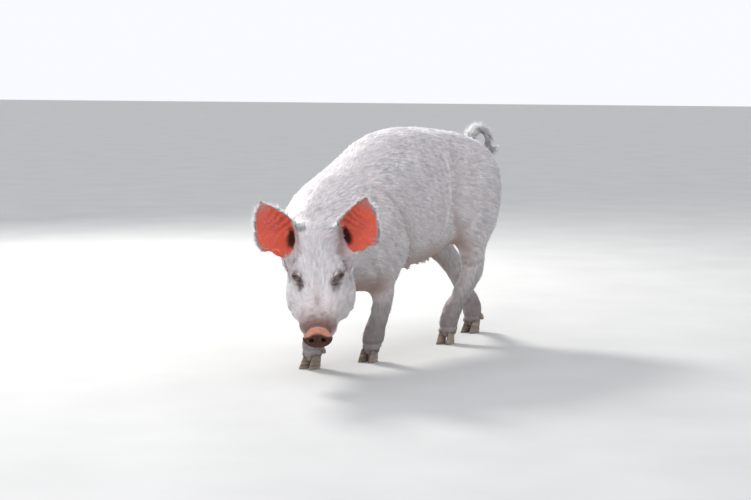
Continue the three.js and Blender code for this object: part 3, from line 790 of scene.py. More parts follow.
def flow(p, n):
    """The way that the hair lies, on the skin's surface."""
    sag = 0.26 + 0.10 * (1 - smooth(to_pig(p)[:, 1], -230, -90))
    f = np.stack([np.zeros(len(p)), np.ones(len(p)), -sag], 1)
    under = smooth(-n[:, 2], 0.3, 0.8)
    f[:, 2] *= 1 - under
    face = head_share(p)[:, None]
    fan = np.clip(to_head(p)[:, 0] / 60, -1, 1)
    up_face = np.stack([0.55 * fan, np.ones(len(p)), -0.35 * np.abs(fan)], 1) @ HEAD.T
    f = blend(f, up_face, face)
    leg = leg_share(p)[:, None]
    down = np.stack([np.zeros(len(p)), np.full(len(p), 0.22), np.full(len(p), -1.0)], 1)
    f = blend(f, down, leg)
    ears = ear_share(p)
    which, _, across, _ = ear_place(p)
    for k, ear in enumerate(EARS.values()):
        pick = (which == k) & (ears > 0.01)
        fanned = np.clip(across[pick], -1, 1) * 0.6
        to_tip = np.stack([fanned * ear["side"], np.ones(pick.sum()), 0 * fanned], 1) @ ear["frame"].T
        f[pick] = blend(f[pick], to_tip, ears[pick][:, None])
    tail = tail_share(p)
    on = np.nonzero(tail > 0.01)[0]
    if len(on):
        spine = even(TAIL, 60)
        step = unit(np.gradient(spine, axis=0))
        k = np.linalg.norm(p[on, None] - spine[None], axis=2).argmin(1)
        f[on] = blend(f[on], step[k], tail[on][:, None])
    f -= n * (f * n).sum(1)[:, None]
    return f / np.maximum(np.linalg.norm(f, axis=1), 1e-9)[:, None]


def face_marks(p):
    """The bare snout, painted shade in the crease above it, the darker muzzle and the dark rims and stains
    of the eyes.
    """
    hx, hy, hz = to_head(p).T
    _, ahead, up = to_snout(p).T
    face = head_share(p)
    wander = noise(p, 16, 3)
    bare = smooth(ahead, -6, -3) * face
    # painted shade in the crease behind the disc
    crease = bump(ahead + 10, 6) * smooth(up, -4, 12) * (1 - bare) * face
    reach = hy + 16 * wander + 8 * noise(p, 7, 9)
    muzzle = smooth(reach, 192, 262) * smooth(hz, -92, -50) * face * (1 - bare)
    bridge = bump(hx, 9) * bump(hy - 198, 24) * smooth(hz, -60, -30) * face
    muzzle = np.maximum(muzzle, 0.55 * bridge)
    rims = np.zeros(len(p))
    for name in EARS:
        e = to_eye(name, p)
        gap = np.hypot(e[:, 0] - 3, e[:, 1] * 1.35)
        below, inner = 0.8 * e[:, 0] - 0.6 * e[:, 1], 0.6 * e[:, 0] + 0.8 * e[:, 1]
        stain = np.hypot((below - 24) / 1.5, inner - 5)
        stain = 0.95 * (1 - smooth(stain + 4 * wander, 5, 20))
        spot = np.maximum(1 - smooth(gap + 2.5 * wander, 8, 19), stain)
        rims = np.maximum(rims, spot * (np.linalg.norm(e, axis=1) < 60))
    return {"bare": bare, "crease": crease, "muzzle": muzzle, "rims": rims}


def ear_marks(p, n):
    """The ear's open side, its own pink deepened to red by painted glow of light shining through, painted
    shade in its canal, its veins and its paler tip.
    """
    wander = noise(p, 16, 3)
    which, along, across, gap = ear_place(p)
    facing = np.zeros(len(p))
    for k, ear in enumerate(EARS.values()):
        pick = which == k
        out = ear_normal(ear["side"], along[pick], np.clip(across[pick], -1, 1)) @ ear["frame"].T
        facing[pick] = (n[pick] * out).sum(1)
    past = along - ear_border(across)  # in ear lengths, from where the head covers the root
    on_ear = (1 - smooth(np.abs(gap), 12, 22)) * smooth(past, -0.02, 0.02) * (along < 1.1)
    facing = np.maximum(facing, (gap > 0.2) * (1 - smooth(along, 0.12, 0.25)))
    centre = smooth(facing, -0.35, 0.05) * on_ear
    centre = centre * (1 - smooth(np.abs(across) + 0.02 * wander, 0.97, 1.04))
    canal = np.hypot((past - 0.05) / 0.17, (across + 0.05) / 0.5) + 0.1 * wander
    bend = 0.35 * noise(p, 45, 4) + 0.15 * noise(p, 12, 6)
    ripple = np.clip(0.5 + 0.6 * np.sin(2 * np.pi * (along * 8 + 0.5 * across + bend)), 0, 1)
    return {
        "ear_open": centre,
        # painted shade inside the ear's canal
        "canal": centre * (1 - smooth(canal, 0.55, 1.2)),
        "veins": centre * ripple * bump(across + 0.35, 0.75) * bump(along - 0.4, 0.35),
        "ear_tip": centre * smooth(along, 0.66, 0.92),
    }


def body_marks(p, n):
    """The legs darker towards the feet, the sheath, the belly with painted shade beneath it, painted shade
    in the folds and painted highlight on their edges.
    """
    x, y, z = to_pig(p).T
    off_face = 1 - head_share(p)
    shoulder, flank, stifle = body_folds(p)
    on_blade = 1 - smooth(z, 455, 530)
    on_flank = between(z, 300, 360, 500, 580)
    # painted highlight along the edges of shoulder and flank
    edges = bump(shoulder + 1, 5) * smooth(z, 215, 260) * on_blade
    edges = np.maximum(edges, bump(flank + 1, 4) * on_flank) * smooth(np.abs(x), 40, 85) * off_face
    # painted shade in the shoulder's groove, the flank's hollow and the stifle's fold
    folds = 0.6 * bump(shoulder - 11, 8) * smooth(z, 200, 250) * on_blade
    folds = np.maximum(folds, between(flank, -2, 8, 12, 75) * on_flank)
    folds = np.maximum(folds, 0.45 * bump(shoulder - 54, 10) * smooth(z, 230, 280) * (z < 470))
    folds = np.maximum(folds, np.exp(-(stifle**2))) * smooth(np.abs(x), 60, 105) * off_face
    return {
        # the legs darker towards the feet
        "low_legs_dark": leg_share(p) * (1 - smooth(z + 14 * noise(p, 16, 3), 60, 240)),
        "sheath": (1 - smooth(np.hypot(x + 6, (y - 98) / 3.2), 17, 24)) * (1 - smooth(z, 222, 240)),
        # facing down: painted shade under the belly, where the hair is also shorter and sparser
        "belly": smooth(-n[:, 2], 0.2, 0.9) * smooth(z, 150, 200) * off_face,
        "folds": folds * (1 - edges),
        "edges": edges,
    }


def marks(p, n):
    """Masks from 0 to 1 that skin and coat share."""
    return {**face_marks(p), **ear_marks(p, n), **body_marks(p, n)}


def sample(v, t, n, density, count):
    """Random places on the skin: point, normal, by area times density."""
    area = np.linalg.norm(face_normals(v, t), axis=1)
    weight = area * density[t].mean(1)
    pick = np.searchsorted(np.cumsum(weight) / weight.sum(), rng.random(count))
    pick = np.minimum(pick, len(t) - 1)
    a, b = rng.random(count), rng.random(count)
    flip = a + b > 1
    a, b = np.where(flip, 1 - a, a), np.where(flip, 1 - b, b)
    share = np.stack([1 - a - b, a, b], 1)[:, :, None]
    p = (v[t[pick]] * share).sum(1)
    m = (n[t[pick]] * share).sum(1)
    return p, unit(m)


def rotated(f, n, angle):
    return f * np.cos(angle)[:, None] + np.cross(n, f) * np.sin(angle)[:, None]


LOCK_WIDTH = {"body": 6.5, "head": 5.0, "legs": 5.0, "ears": 4.0, "tail": 6.0}  # mm
LOCK_LENGTH = 4.2  # times its width
ROOTED = 0.0007  # how deep a tuft stands in the skin
BEND_AT = 0.45  # the share of a tuft's length at which it bends
PATCH = 0.003  # the width of a tuft's place on the unwrap


def unwrap(p, region):
    """A root's place from 0 to 1 on an unwrap of its own region."""
    q = to_pig(p)
    h = to_head(p)
    if region == "body":
        u = (q[:, 1] + 620) / 1120
        w = np.arctan2(q[:, 0], q[:, 2] - 400) / (2 * np.pi) + 0.5
    elif region == "head":
        u = (h[:, 1] + 60) / 400
        w = np.arctan2(h[:, 0], -(h[:, 2] + 75)) / (2 * np.pi) + 0.5
    elif region == "legs":
        leg = nearest_leg(p)
        axis = np.zeros((len(p), 2))
        for k, name in enumerate(LEG_AXES):
            axis[leg == k] = leg_axis(name, q[leg == k, 2])
        turn = np.arctan2(q[:, 0] - axis[:, 0], q[:, 1] - axis[:, 1]) / (2 * np.pi) + 0.5
        u = np.clip(q[:, 2] / 440, 0, 1)
        w = (leg + turn) / 4
    elif region == "ears":
        which, along, across, gap = ear_place(p)
        u = np.clip(along * 0.8 + 0.15, 0, 1)
        w = (which * 2 + (gap > 0) + np.clip(across * 0.48 + 0.5, 0, 1)) / 4
    else:
        spine = even(TAIL, 60)
        k = np.linalg.norm(p[:, None] - spine[None], axis=2).argmin(1)
        u = k / 60
        r = p - spine[k]
        w = np.arctan2(r[:, 0], r[:, 2]) / (2 * np.pi) + 0.5
    return np.stack([np.clip(u, 0.002, 0.995), np.clip(w, 0.002, 0.995)], 1)


def locks(p, region):
    """The lock of hair that each root belongs to: its middle, and a random number of its own."""
    width = LOCK_WIDTH[region]
    if region in ("body", "tail"):
        axes = np.array([[1, 0, 0], [0, 0.96, -0.28], [0, 0.28, 0.96]])
    elif region == "legs":
        axes = np.array([[1, 0, 0], [0, 0, 1], [0, 1, 0]])
    else:
        axes = HEAD.T
    size = width * np.array([1, LOCK_LENGTH, 1])
    wander = np.stack([noise(p, 5 * width, k) for k in (31, 32, 33)], 1) * 0.6
    at = p @ axes.T / MM / size + wander
    cell = np.floor(at).astype(np.int64)
    middle = ((cell + 0.5 - wander) * size * MM) @ axes
    mixed_up = (cell[:, 0] * 73856093) ^ (cell[:, 1] * 19349663) ^ (cell[:, 2] * 83492791)
    return middle, (mixed_up % 9973) / 9973


def tufts(name, region, material, bent, p, n, d, length, width, lift, droop):
    """A piece of the coat: thin closed tufts, each three sided, from its root to a point."""
    count = len(p)
    b = np.cross(n, d)
    middle, chance = locks(p, region)
    gather_in = ((middle - p) * b).sum(1) * 0.7
    lift = lift * (0.75 + 0.5 * chance)
    root = p - n * ROOTED
    tilt = np.tan(lift)

    def spine(s):
        rise = length * (tilt * s - droop * s * s)
        return root + d * (length * s)[:, None] + n * rise[:, None] + b * (gather_in * s)[:, None]

    rings = (0.0, BEND_AT) if bent else (0.0,)
    corner = ((-0.5, 0.0), (0.5, 0.0), (0.0, 0.5))
    shape, normal = [], []
    for s in rings:
        for across, above in corner:
            wide = width * (1.0 if s == 0 else 0.85)
            corner_at = b * (across * wide)[:, None] + n * (above * wide)[:, None]
            shape.append(spine(np.full(count, s)) + corner_at)
            normal.append(n + b * across * 0.9 + d * 0.15)
    shape.append(spine(np.ones(count)))
    normal.append(n + d * 0.3)
    per = len(shape)
    v = np.stack(shape, 1).reshape(-1, 3)
    m = unit(np.stack(normal, 1).reshape(-1, 3))
    if bent:
        face = [[0, 1, 2]]
        for k in range(3):
            j = (k + 1) % 3
            face += [[k, k + 3, j], [j, k + 3, j + 3], [k + 3, 6, j + 3]]
    else:
        face = [[0, 1, 2], [0, 3, 1], [1, 3, 2], [2, 3, 0]]
    face = np.array(face)
    t = (np.arange(count)[:, None, None] * per + face[None]).reshape(-1, 3)
    one = v[:per][face] - v[0]
    if np.einsum("ij,ij->i", one[:, 0], np.cross(one[:, 1], one[:, 2])).sum() < 0:
        t = t[:, ::-1]
    me = make_mesh(name, v, t)
    if region not in ("ears", "tail"):
        soft = me.attributes.new("custom_normal", "FLOAT_VECTOR", "POINT")
        soft.data.foreach_set("vector", m.astype(np.float32).reshape(-1))
    masks = marks(p, n)
    masks["tint"] = np.clip(0.7 * chance**1.1 + 0.3 * rng.random(count), 0, 1)
    values = {key: np.repeat(value, per) for key, value in masks.items()}
    values["height"] = np.tile([*np.repeat(rings, 3), 1.0], count)
    for key, value in values.items():
        if np.abs(value).max() > 0.002:
            add_attribute(me, key, value)
    patch = np.array([(0, 0), (1, 0), (0.5, 1)]) * PATCH
    corners = np.concatenate([np.tile(patch, (per // 3, 1)), [[0.5 * PATCH, 0.5 * PATCH]]])
    at = np.repeat(unwrap(p, region), per, 0) + np.tile(corners, (count, 1))
    uv = me.uv_layers.new(name="OFBake")
    uv.data.foreach_set("uv", at[t.reshape(-1)].astype(np.float32).reshape(-1))
    me.materials.append(material)
    o = make_object(name, me)
    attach(o, "root")


LIMIT = 190_000  # triangles in one piece


def in_pieces(region, material, bent, *roots):
    """A region's tufts as meshes of at most LIMIT triangles, from head to tail."""
    most = LIMIT // (10 if bent else 4)
    order = np.argsort(to_pig(roots[0])[:, 1])
    chunks = np.array_split(order, max(1, math.ceil(len(order) / most)))
    for k, chunk in enumerate(chunks):
        label = f"coat_{region}_{k + 1}" if len(chunks) > 1 else f"coat_{region}"
        tufts(label, region, material, bent, *(value[chunk] for value in roots))


def spread(count, middle, share=0.25):
    return middle * (1 + share * np.clip(rng.normal(size=count), -2, 2))


COATS = {  # how many tufts, whether they bend, width and lift with the share they vary by, and droop
    "body": (84_000, True, (1.4, 0.4), (5.5, 0.6), 0.05),
    "head": (30_000, False, (0.95, 0.3), (10, 0.5), 0.0),
    "legs": (36_000, False, (1.1, 0.3), (8, 0.5), 0.0),
    "ears": (16_000, True, (0.9, 0.3), (7, 0.3), 0.06),
    "tail": (5_000, True, (0.9, 0.3), (30, 0.4), 0.05),
}


def hair_length(region, p, n):
    """How long the hair is at each root, in mm."""
    if region == "body":
        mine = marks(p, n)
        length = 23.0 * (1 - 0.35 * leg_share(p)) * (1 - 0.45 * head_share(p))
        return length * (1 - 0.8 * mine["sheath"]) * (1 - 0.45 * mine["folds"]) * (1 - 0.55 * mine["belly"])
    if region == "head":
        return 16.0 - 10.0 * smooth(to_head(p)[:, 1], 60, 250)
    if region == "legs":
        return 7.0 + 7.0 * smooth(to_pig(p)[:, 2], 40, 230)
    if region == "ears":
        return 9.0 + 8.0 * smooth(np.abs(ear_place(p)[2]), 0.80, 0.97)
    return 19.0


def densities(v, n):
    """How thickly each region's tufts stand at each place of the skin."""
    face, legs, ears, tail = head_share(v), leg_share(v), ear_share(v), tail_share(v)
    masks = marks(v, n)
    lids = np.ones(len(v))
    for name in EARS:
        e = to_eye(name, v)
        lids = np.minimum(lids, smooth(np.hypot(e[:, 0] * 0.75, e[:, 1]), 7, 14))
    hairy = (1 - masks["bare"]) * lids * (to_snout(v)[:, 1] < -12) * (to_pig(v)[:, 2] > 30)
    _, along, across, gap = ear_place(v)
    room = (gap > -1) * (gap < 34) * (along - ear_border(across) > 0.02) * (along < 0.35)
    open_air = (1 - 0.99 * masks["ear_open"]) * (1 - room * (np.abs(across) < 1.06))
    body = (1 - ears) * (1 - tail) * (1 - smooth(face, 0.25, 0.6)) * (1 - smooth(legs, 0.5, 0.9))
    head = smooth(face, 0.3, 0.7) * (1 - ears) * hairy * (1 - 0.3 * masks["muzzle"])
    edge = smooth(np.abs(across), 0.78, 0.95) * ears
    return {
        "body": body * (1 - 0.45 * masks["belly"]) * open_air,
        "head": head * open_air,
        "legs": smooth(legs, 0.5, 0.9) * hairy * (1 - face),
        "ears": ears * (1 - 0.985 * masks["ear_open"]) * (1 + 4 * edge),
        "tail": tail,
    }


def build_coat(v, t, material, glowing):
    n = normals_of(v, t)
    density = densities(v, n)
    for region, (count, bent, (width, width_share), (lift, lift_share), droop) in COATS.items():
        p, m = sample(v, t, n, density[region], count)
        waver = 0.14 * noise(p, 55, 11) + 0.09 * noise(p, 14, 12)
        d = rotated(flow(p, m), m, waver + rng.normal(size=count) * 0.10)
        length = spread(count, 1.0) * hair_length(region, p, m) * MM
        width = np.clip(spread(count, width, width_share), 0.5, 4) * MM
        lift = np.radians(np.clip(spread(count, lift, lift_share), 1, 40))
        look = glowing if region in ("ears", "tail") else material
        in_pieces(region, look, bent, p, m, d, length, width, lift, np.full(count, droop))
    lashes(material)


LASHES = 46  # on each upper lid


def lashes(material):
    """Dark lashes along each upper lid."""
    sets = []
    for name in EARS:
        axis, slit, above = eye_axes(name)
        u = np.linspace(-9, 7, LASHES) + rng.normal(size=LASHES) * 0.3
        w = LID_MIDDLE + 5.2 * np.clip(1 - (u / 10.5) ** 2, 0, 1) ** 0.8
        rise = np.sqrt(EYE_BALL**2 - u * u - w * w)
        out = unit(np.outer(u, slit) + np.outer(w, above) + np.outer(rise, axis))
        way = unit(above * 0.8 + axis * 0.75 + np.outer(u * 0.05, slit))
        sets.append((eyes[name] + out * (EYE_BALL + 2.0) * MM, out, way))
    p, n, d = (np.concatenate(part) for part in zip(*sets))
    d = unit(d - n * (d * n).sum(1)[:, None])
    count = len(p)
    length, lift = spread(count, 9.0) * MM, np.radians(spread(count, 28, 0.2))
    width, droop = np.full(count, 0.6) * MM, np.full(count, 0.1)
    tufts("coat_lashes", "head", material, True, p, n, d, length, width, lift, droop)


# ---------------------------------------------------------------- looks

BLOTCH = 22  # noises per metre
SPOTS = 16
PINK_SKIN = (0.55, 0.47, 0.465)
PALE_SKIN = (0.68, 0.61, 0.61)
# painted shade under the belly
BELLY_SHADE = (0.26, 0.155, 0.115)
# the legs darker towards the feet
LOW_LEGS_DARK = (0.20, 0.165, 0.16)
# painted shade in the folds of shoulder, flank and stifle
FOLD_SHADE = (0.40, 0.28, 0.26)
RIM = (0.08, 0.045, 0.042)
MUZZLE = (0.13, 0.09, 0.075)
MUZZLE_GRAIN = (0.25, 0.16, 0.14)
# the ear's own pink deepened to red by painted glow of light shining through it, even and blotched
EAR_RED_AND_GLOW = (0.78, 0.13, 0.07)
EAR_BLOTCH = (0.68, 0.12, 0.09)
EAR_DEEP = (0.42, 0.045, 0.025)
EAR_TIP = (0.42, 0.22, 0.19)
# painted shade inside the ear's canal
CANAL = (0.03, 0.008, 0.006)
SHEATH_RED = (0.17, 0.06, 0.035)
# the disc's own pink-brown, as a lit copy on its top (painted light) and a shaded copy on its front face
# (painted shade)
SNOUT_TOP_LIT = (0.56, 0.24, 0.16)
SNOUT_FACE_SHADED = (0.04, 0.016, 0.010)
SNOUT_SPOT = (0.20, 0.075, 0.05)
# painted shade in the crease behind the disc
SNOUT_CREASE_SHADE = (0.16, 0.065, 0.055)
# painted shade inside the nostrils
NOSTRIL_SHADE = (0.012, 0.006, 0.005)
COAT_WHITE = (0.95, 0.935, 0.955)
COAT_SHADE = (0.36, 0.35, 0.375)
COAT_SPOT = (0.80, 0.745, 0.70)
COAT_ROOT = (0.50, 0.455, 0.465)
COAT_LAYERS = [  # a colour, the mask it follows, and how far
    # painted shade in the folds
    ((0.42, 0.385, 0.40), "folds", 0.9),
    # painted highlight on the edges of shoulder and flank
    ((0.97, 0.955, 0.97), "edges", 0.85),
    # the legs darker towards the feet
    ((0.14, 0.112, 0.105), "low_legs_dark", 0.85),
    # painted shade under the belly
    ((0.20, 0.13, 0.095), "belly", 0.75),
    ((0.17, 0.125, 0.125), "rims", 0.9),
    ((0.17, 0.135, 0.115), "muzzle", 0.9),
    # painted shade in the crease behind the disc
    ((0.20, 0.10, 0.09), "crease", 0.7),
    ((0.20, 0.08, 0.05), "sheath", 0.9),
    # hair on the ear's open side, faintly reddened like the ear's painted glow
    ((0.62, 0.40, 0.34), "ear_open", 0.15),
]
HORN_DARK = (0.17, 0.125, 0.09)
HORN_PALE = (0.40, 0.32, 0.25)
HORN_STAIN = (0.09, 0.065, 0.05)
IRIS = (0.03, 0.014, 0.009)
IRIS_PALE = (0.09, 0.045, 0.025)
EYE_WHITE = (0.16, 0.09, 0.08)
PUPIL = (0.004, 0.003, 0.003)


def set_inputs(made, values):
    for key, value in values.items():
        made.inputs[key].default_value = value


def material(name, **values):
    """A material with its shader's inputs, their names with _ for each space."""
    m = bpy.data.materials.new(name)
    m.use_nodes = True
    bsdf = m.node_tree.nodes["Principled BSDF"]
    set_inputs(bsdf, {key.replace("_", " "): value for key, value in values.items()})
    return m, m.node_tree, bsdf


def node(tree, kind, inputs=(), **values):
    made = tree.nodes.new("ShaderNode" + kind)
    for key, value in values.items():
        setattr(made, key, value)
    set_inputs(made, dict(inputs))
    return made


def link(tree, made, **sockets):
    for key, value in sockets.items():
        tree.links.new(value, made.inputs[key])
    return made


def product(tree, a, share):
    m = link(tree, node(tree, "Math", operation="MULTIPLY"), Value=a)
    m.inputs[1].default_value = share
    return m.outputs[0]


def mask(tree, name, gain=1.0):
    share = node(tree, "Attribute", attribute_name=name).outputs["Fac"]
    return share if gain == 1.0 else product(tree, share, gain)


def mixed(tree, a, b, share):
    """Colour a turned to colour b by a share; each is a colour or a socket."""
    m = node(tree, "Mix", data_type="RGBA")
    for slot, value in ((6, a), (7, b)):
        if isinstance(value, tuple):
            m.inputs[slot].default_value = (*value, 1)
        else:
            tree.links.new(value, m.inputs[slot])
    tree.links.new(share, m.inputs[0])
    return m.outputs[2]


def layered(tree, colour, layers):
    """A colour under layers of others, each with the mask it follows and how far."""
    for over, name, gain in layers:
        colour = mixed(tree, colour, over, mask(tree, name, gain))
    return colour


def remapped(tree, value, ends):
    return link(tree, node(tree, "MapRange", ends), Value=value).outputs["Result"]


def grain(tree, scale, detail=3.0, stretch=(1, 1, 1), low=0.3, high=0.7):
    """A noise between 0 and 1 in object space, with this many features per metre."""
    where = node(tree, "TexCoord").outputs["Object"]
    shape = link(tree, node(tree, "Mapping", {"Scale": stretch}), Vector=where)
    texture = node(tree, "TexNoise", {"Scale": scale, "Detail": detail})
    link(tree, texture, Vector=shape.outputs["Vector"])
    return remapped(tree, texture.outputs["Fac"], {"From Min": low, "From Max": high})


def bumped(tree, bsdf, layers):
    """Stacks bump layers of (height, distance in metres, strength)."""
    made = bsdf
    for height, distance, strength in reversed(layers):
        b = link(tree, node(tree, "Bump", {"Distance": distance, "Strength": strength}), Height=height)
        link(tree, made, Normal=b.outputs["Normal"])
        made = b


def skin_material():
    m, tree, bsdf = material(
        "skin",
        Specular_IOR_Level=0.25,
        Subsurface_Weight=0.12,
        Subsurface_Radius=(0.012, 0.005, 0.003),
        Subsurface_Scale=0.6,
    )
    blotch = grain(tree, BLOTCH, 4)
    fine = grain(tree, 420)
    muzzle = mixed(tree, MUZZLE, MUZZLE_GRAIN, fine)
    # the ear's own pink deepened to red by painted glow of light shining through it
    red = mixed(tree, EAR_RED_AND_GLOW, EAR_BLOTCH, blotch)
    red = layered(tree, red, [(EAR_DEEP, "veins", 0.85), (EAR_TIP, "ear_tip", 0.8)])
    # the disc lit on top with painted light and darkened on its lower front with painted shade
    disc = mixed(tree, SNOUT_TOP_LIT, SNOUT_FACE_SHADED, mask(tree, "front"))
    disc = mixed(tree, disc, SNOUT_SPOT, product(tree, grain(tree, 150), 0.3))
    layers = [
        # painted shade under the belly
        (BELLY_SHADE, "belly", 0.8),
        # the legs darker towards the feet
        (LOW_LEGS_DARK, "low_legs_dark", 0.8),
        # painted shade in the folds
        (FOLD_SHADE, "folds", 0.7),
        (RIM, "rims", 1.0),
        (muzzle, "muzzle", 0.9),
        # the ear's own pink deepened to red by painted glow
        (red, "ear_open", 1.0),
        # painted shade inside the ear's canal
        (CANAL, "canal", 1.0),
        (SHEATH_RED, "sheath", 0.85),
        # painted shade in the crease behind the disc
        (SNOUT_CREASE_SHADE, "crease", 0.9),
        (disc, "bare", 1.0),
        # painted shade inside the nostrils
        (NOSTRIL_SHADE, "pit", 1.0),
    ]
    colour = layered(tree, mixed(tree, PINK_SKIN, PALE_SKIN, blotch), layers)
    rough = remapped(tree, mask(tree, "bare"), {"To Min": 0.62, "To Max": 0.5})
    link(tree, bsdf, **{"Base Color": colour, "Roughness": rough})
    where = node(tree, "TexCoord").outputs["Object"]
    pores = link(tree, node(tree, "TexVoronoi", {"Scale": 620}), Vector=where).outputs["Distance"]
    bumped(tree, bsdf, [(grain(tree, 95, 5), 0.0012, 0.5), (fine, 0.0005, 0.6), (pores, 0.0004, 0.5)])
    return m


def coat_material(name="coat", glow=0.0):
    m, tree, bsdf = material(
        name,
        Roughness=0.48,
        Specular_IOR_Level=0.35,
        Sheen_Weight=0.25,
        Sheen_Roughness=0.4,
    )
    colour = mixed(tree, COAT_SHADE, COAT_WHITE, mask(tree, "tint"))
    colour = mixed(tree, colour, COAT_SPOT, product(tree, grain(tree, SPOTS), 0.25))
    root = remapped(tree, mask(tree, "height"), {"From Max": 0.5, "To Min": 0.8, "To Max": 0.0})
    colour = layered(tree, mixed(tree, colour, COAT_ROOT, root), COAT_LAYERS)
    link(tree, bsdf, **{"Base Color": colour})
    if glow:
        bsdf.inputs["Subsurface Weight"].default_value = glow
        bsdf.inputs["Subsurface Radius"].default_value = (1.0, 0.96, 0.93)
        bsdf.inputs["Subsurface Scale"].default_value = 0.003
    return m


def horn_material():
    m, tree, bsdf = material("horn", Roughness=0.5)
    bands = grain(tree, 70, 4, (0.25, 0.25, 3.2), 0.35, 0.65)
    colour = mixed(tree, HORN_DARK, HORN_PALE, bands)
    colour = mixed(tree, colour, HORN_STAIN, product(tree, grain(tree, 26, 4), 0.5))
    link(tree, bsdf, **{"Base Color": colour})
    bumped(tree, bsdf, [(bands, 0.0006, 0.6), (grain(tree, 500), 0.0003, 0.4)])
    return m


def eye_material():
    m, tree, bsdf = material(
        "eyeball", Roughness=0.12, Specular_IOR_Level=0.3, Coat_Weight=0.3, Coat_Roughness=0.03
    )
    colour = mixed(tree, IRIS, IRIS_PALE, grain(tree, 900))
    colour = mixed(tree, EYE_WHITE, colour, mask(tree, "iris"))
    link(tree, bsdf, **{"Base Color": mixed(tree, colour, PUPIL, mask(tree, "pupil"))})
    return m


# ---------------------------------------------------------------- eyes and claws


def build_eye(name):
    """An eyeball with a swollen cornea, its iris and a level oval pupil."""
    v, t = globe(np.zeros(3), 1.0, 64, 48)
    look = unit(eye_axes(name)[0] * 0.93 + HEAD @ np.array([0, -0.30, 0.0]))
    level = unit(np.cross(look, [0, 0, 1]))
    above = np.cross(level, look)
    x, y, z = v @ level, v @ above, v @ look
    off = np.hypot(x, y)
    cornea = 1 + 0.06 * (1 - smooth(off, 0.30, 0.72)) * (z > 0)
    me = make_mesh(f"eyeball_{name}", eyes[name] + v * (cornea * (EYE_BALL - 0.15) * MM)[:, None], t)
    add_attribute(me, "iris", (1 - smooth(off, 0.66, 0.72)) * (z > 0))
    add_attribute(me, "pupil", (1 - smooth(np.hypot(x * 0.8, y * 1.25), 0.28, 0.33)) * (z > 0))
    o = make_object(f"eyeball_{name}", me)
    me.materials.append(EYE)
    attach(o, "root")
    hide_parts(f"eye_{name}")


CLAW_VOXEL = 0.0013
CLAW_TURNS = 14
CLAW_RING = 3.6  # mm from one ring of growth to the next
CLAW_STANDS = 0.002  # a claw whose foot is lower than this stands on the floor
CLAW_FLAT = 0.0011  # how much of a standing claw's foot is pressed flat


def build_claw(cad_name):
    """A claw with its edges worn round and rings of growth round its wall."""
    v, t = welded(*arrays(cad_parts[cad_name].data))
    o = make_object("horn_" + cad_name, make_mesh("horn_" + cad_name, v, t))
    add_modifier(o, "REMESH", mode="VOXEL", voxel_size=CLAW_VOXEL)
    add_modifier(o, "SMOOTH", factor=0.5, iterations=CLAW_TURNS)
    me = evaluated(o)
    me.name = "horn_" + cad_name
    w, f = arrays(me)
    low = v[:, 2].min()
    n = normals_of(w, f)
    height = (w[:, 2] - low) / MM
    wall = smooth(height, 1, 4) * (1 - smooth(np.abs(n[:, 2]), 0.6, 0.9))
    rings = 0.28 * np.sin(height * 2 * np.pi / CLAW_RING + 1.5 * noise(w, 14, 21)) + 0.5 * noise(w, 9, 22)
    w = w + n * (rings * wall * MM)[:, None]
    if low < CLAW_STANDS:
        w[:, 2] = np.where(w[:, 2] < low + CLAW_FLAT, low, w[:, 2])
    me.vertices.foreach_set("co", w.astype(np.float32).reshape(-1))
    me.polygons.foreach_set("use_smooth", np.ones(len(me.polygons), bool))
    me.update()
    me.materials.append(HORN)
    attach(o, "root")
    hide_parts(cad_name)


# ---------------------------------------------------------------- studio

FLOOR_REACH = 40.0
FLOOR = ((0.46, 0.46, 0.455), (0.50, 0.50, 0.495))
SKY = (0.94, 0.96, 1.0, 1)


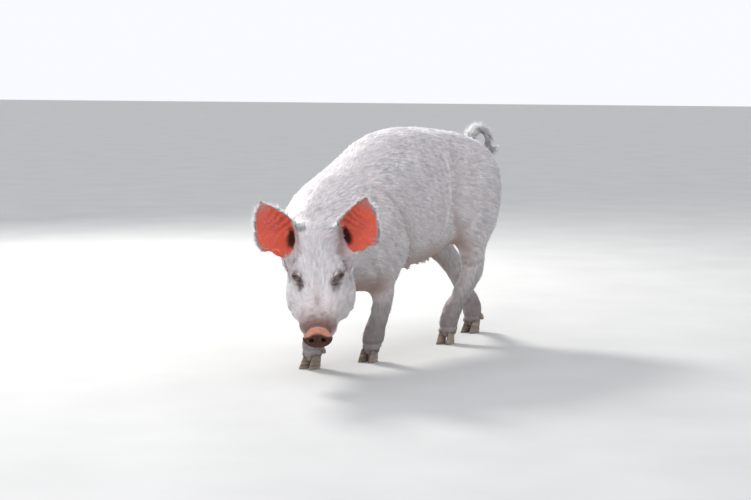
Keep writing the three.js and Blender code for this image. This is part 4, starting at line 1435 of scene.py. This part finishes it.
def build_stage():
    corners = np.array([[-1, -1, 0], [1, -1, 0], [1, 1, 0], [-1, 1, 0]]) * FLOOR_REACH
    me = make_mesh("floor", corners, np.array([[0, 1, 2], [0, 2, 3]]))
    floor = make_object("floor", me)
    m, tree, bsdf = material("floor", Roughness=0.8)
    link(tree, bsdf, **{"Base Color": mixed(tree, *FLOOR, grain(tree, 3))})
    me.materials.append(m)
    bpy.context.scene.view_settings.view_transform = "Standard"
    world = bpy.data.worlds.new("studio")
    bpy.context.scene.world = world
    world.use_nodes = True
    set_inputs(world.node_tree.nodes["Background"], {"Color": SKY, "Strength": 1.0})


def build_lamp(name, at, target, size, watts, colour):
    data = bpy.data.lights.new(name, "AREA")
    data.shape = "DISK"
    data.size = size
    data.energy = watts
    data.color = colour
    o = make_object(name, data)
    o.location = at
    o.rotation_euler = (Vector(target) - Vector(at)).to_track_quat("-Z", "Y").to_euler()


def build_camera(at, pitch, yaw, lens):
    data = bpy.data.cameras.new("camera")
    data.lens = lens
    data.sensor_width = 36
    o = make_object("camera", data)
    o.location = at
    o.rotation_euler = (math.radians(pitch), 0, math.radians(yaw))
    bpy.context.scene.camera = o


# ---------------------------------------------------------------- the pig

SKIN, HORN, EYE = skin_material(), horn_material(), eye_material()
COAT, GLOWING = coat_material(), coat_material("fringe", 0.7)

v, t = wrinkled_skin()
skin = make_object("skin", make_mesh("skin", v, t))
for key, value in marks(v, normals_of(v, t)).items():
    add_attribute(skin.data, key, value)
x, y, z = to_snout(v).T
# the disc's lower front face, which takes painted shade
add_attribute(skin.data, "front", smooth(y, 2, 5) * (1 - smooth(disc_height(x, z), 0.35, 0.8)))
holes = [1 - smooth(nostril_reach(x, z, nostril), 0.7, 1.0) for nostril in NOSTRILS]
# the nostrils, which take painted shade
add_attribute(skin.data, "pit", np.maximum(*holes) * (y > -14))
skin.data.materials.append(SKIN)
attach(skin, "root")
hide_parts(*FLESH, "ear_left", "ear_right", "tail")

for name in EARS:
    build_eye(name)
for cad_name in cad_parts:
    if "claw" in cad_name:
        build_claw(cad_name)
build_coat(v, t, COAT, GLOWING)

build_stage()
build_camera(at=place(2618, -4493, 790), pitch=84.51, yaw=31, lens=87.24)
build_lamp("sun", place(-2900, 1500, 2700), (0, 0, 0.4), size=0.9, watts=190, colour=(1.0, 0.98, 0.94))
build_lamp("fill", place(900, -4700, 3500), (0, 0, 0.35), size=3.0, watts=110, colour=(0.97, 0.97, 1.0))
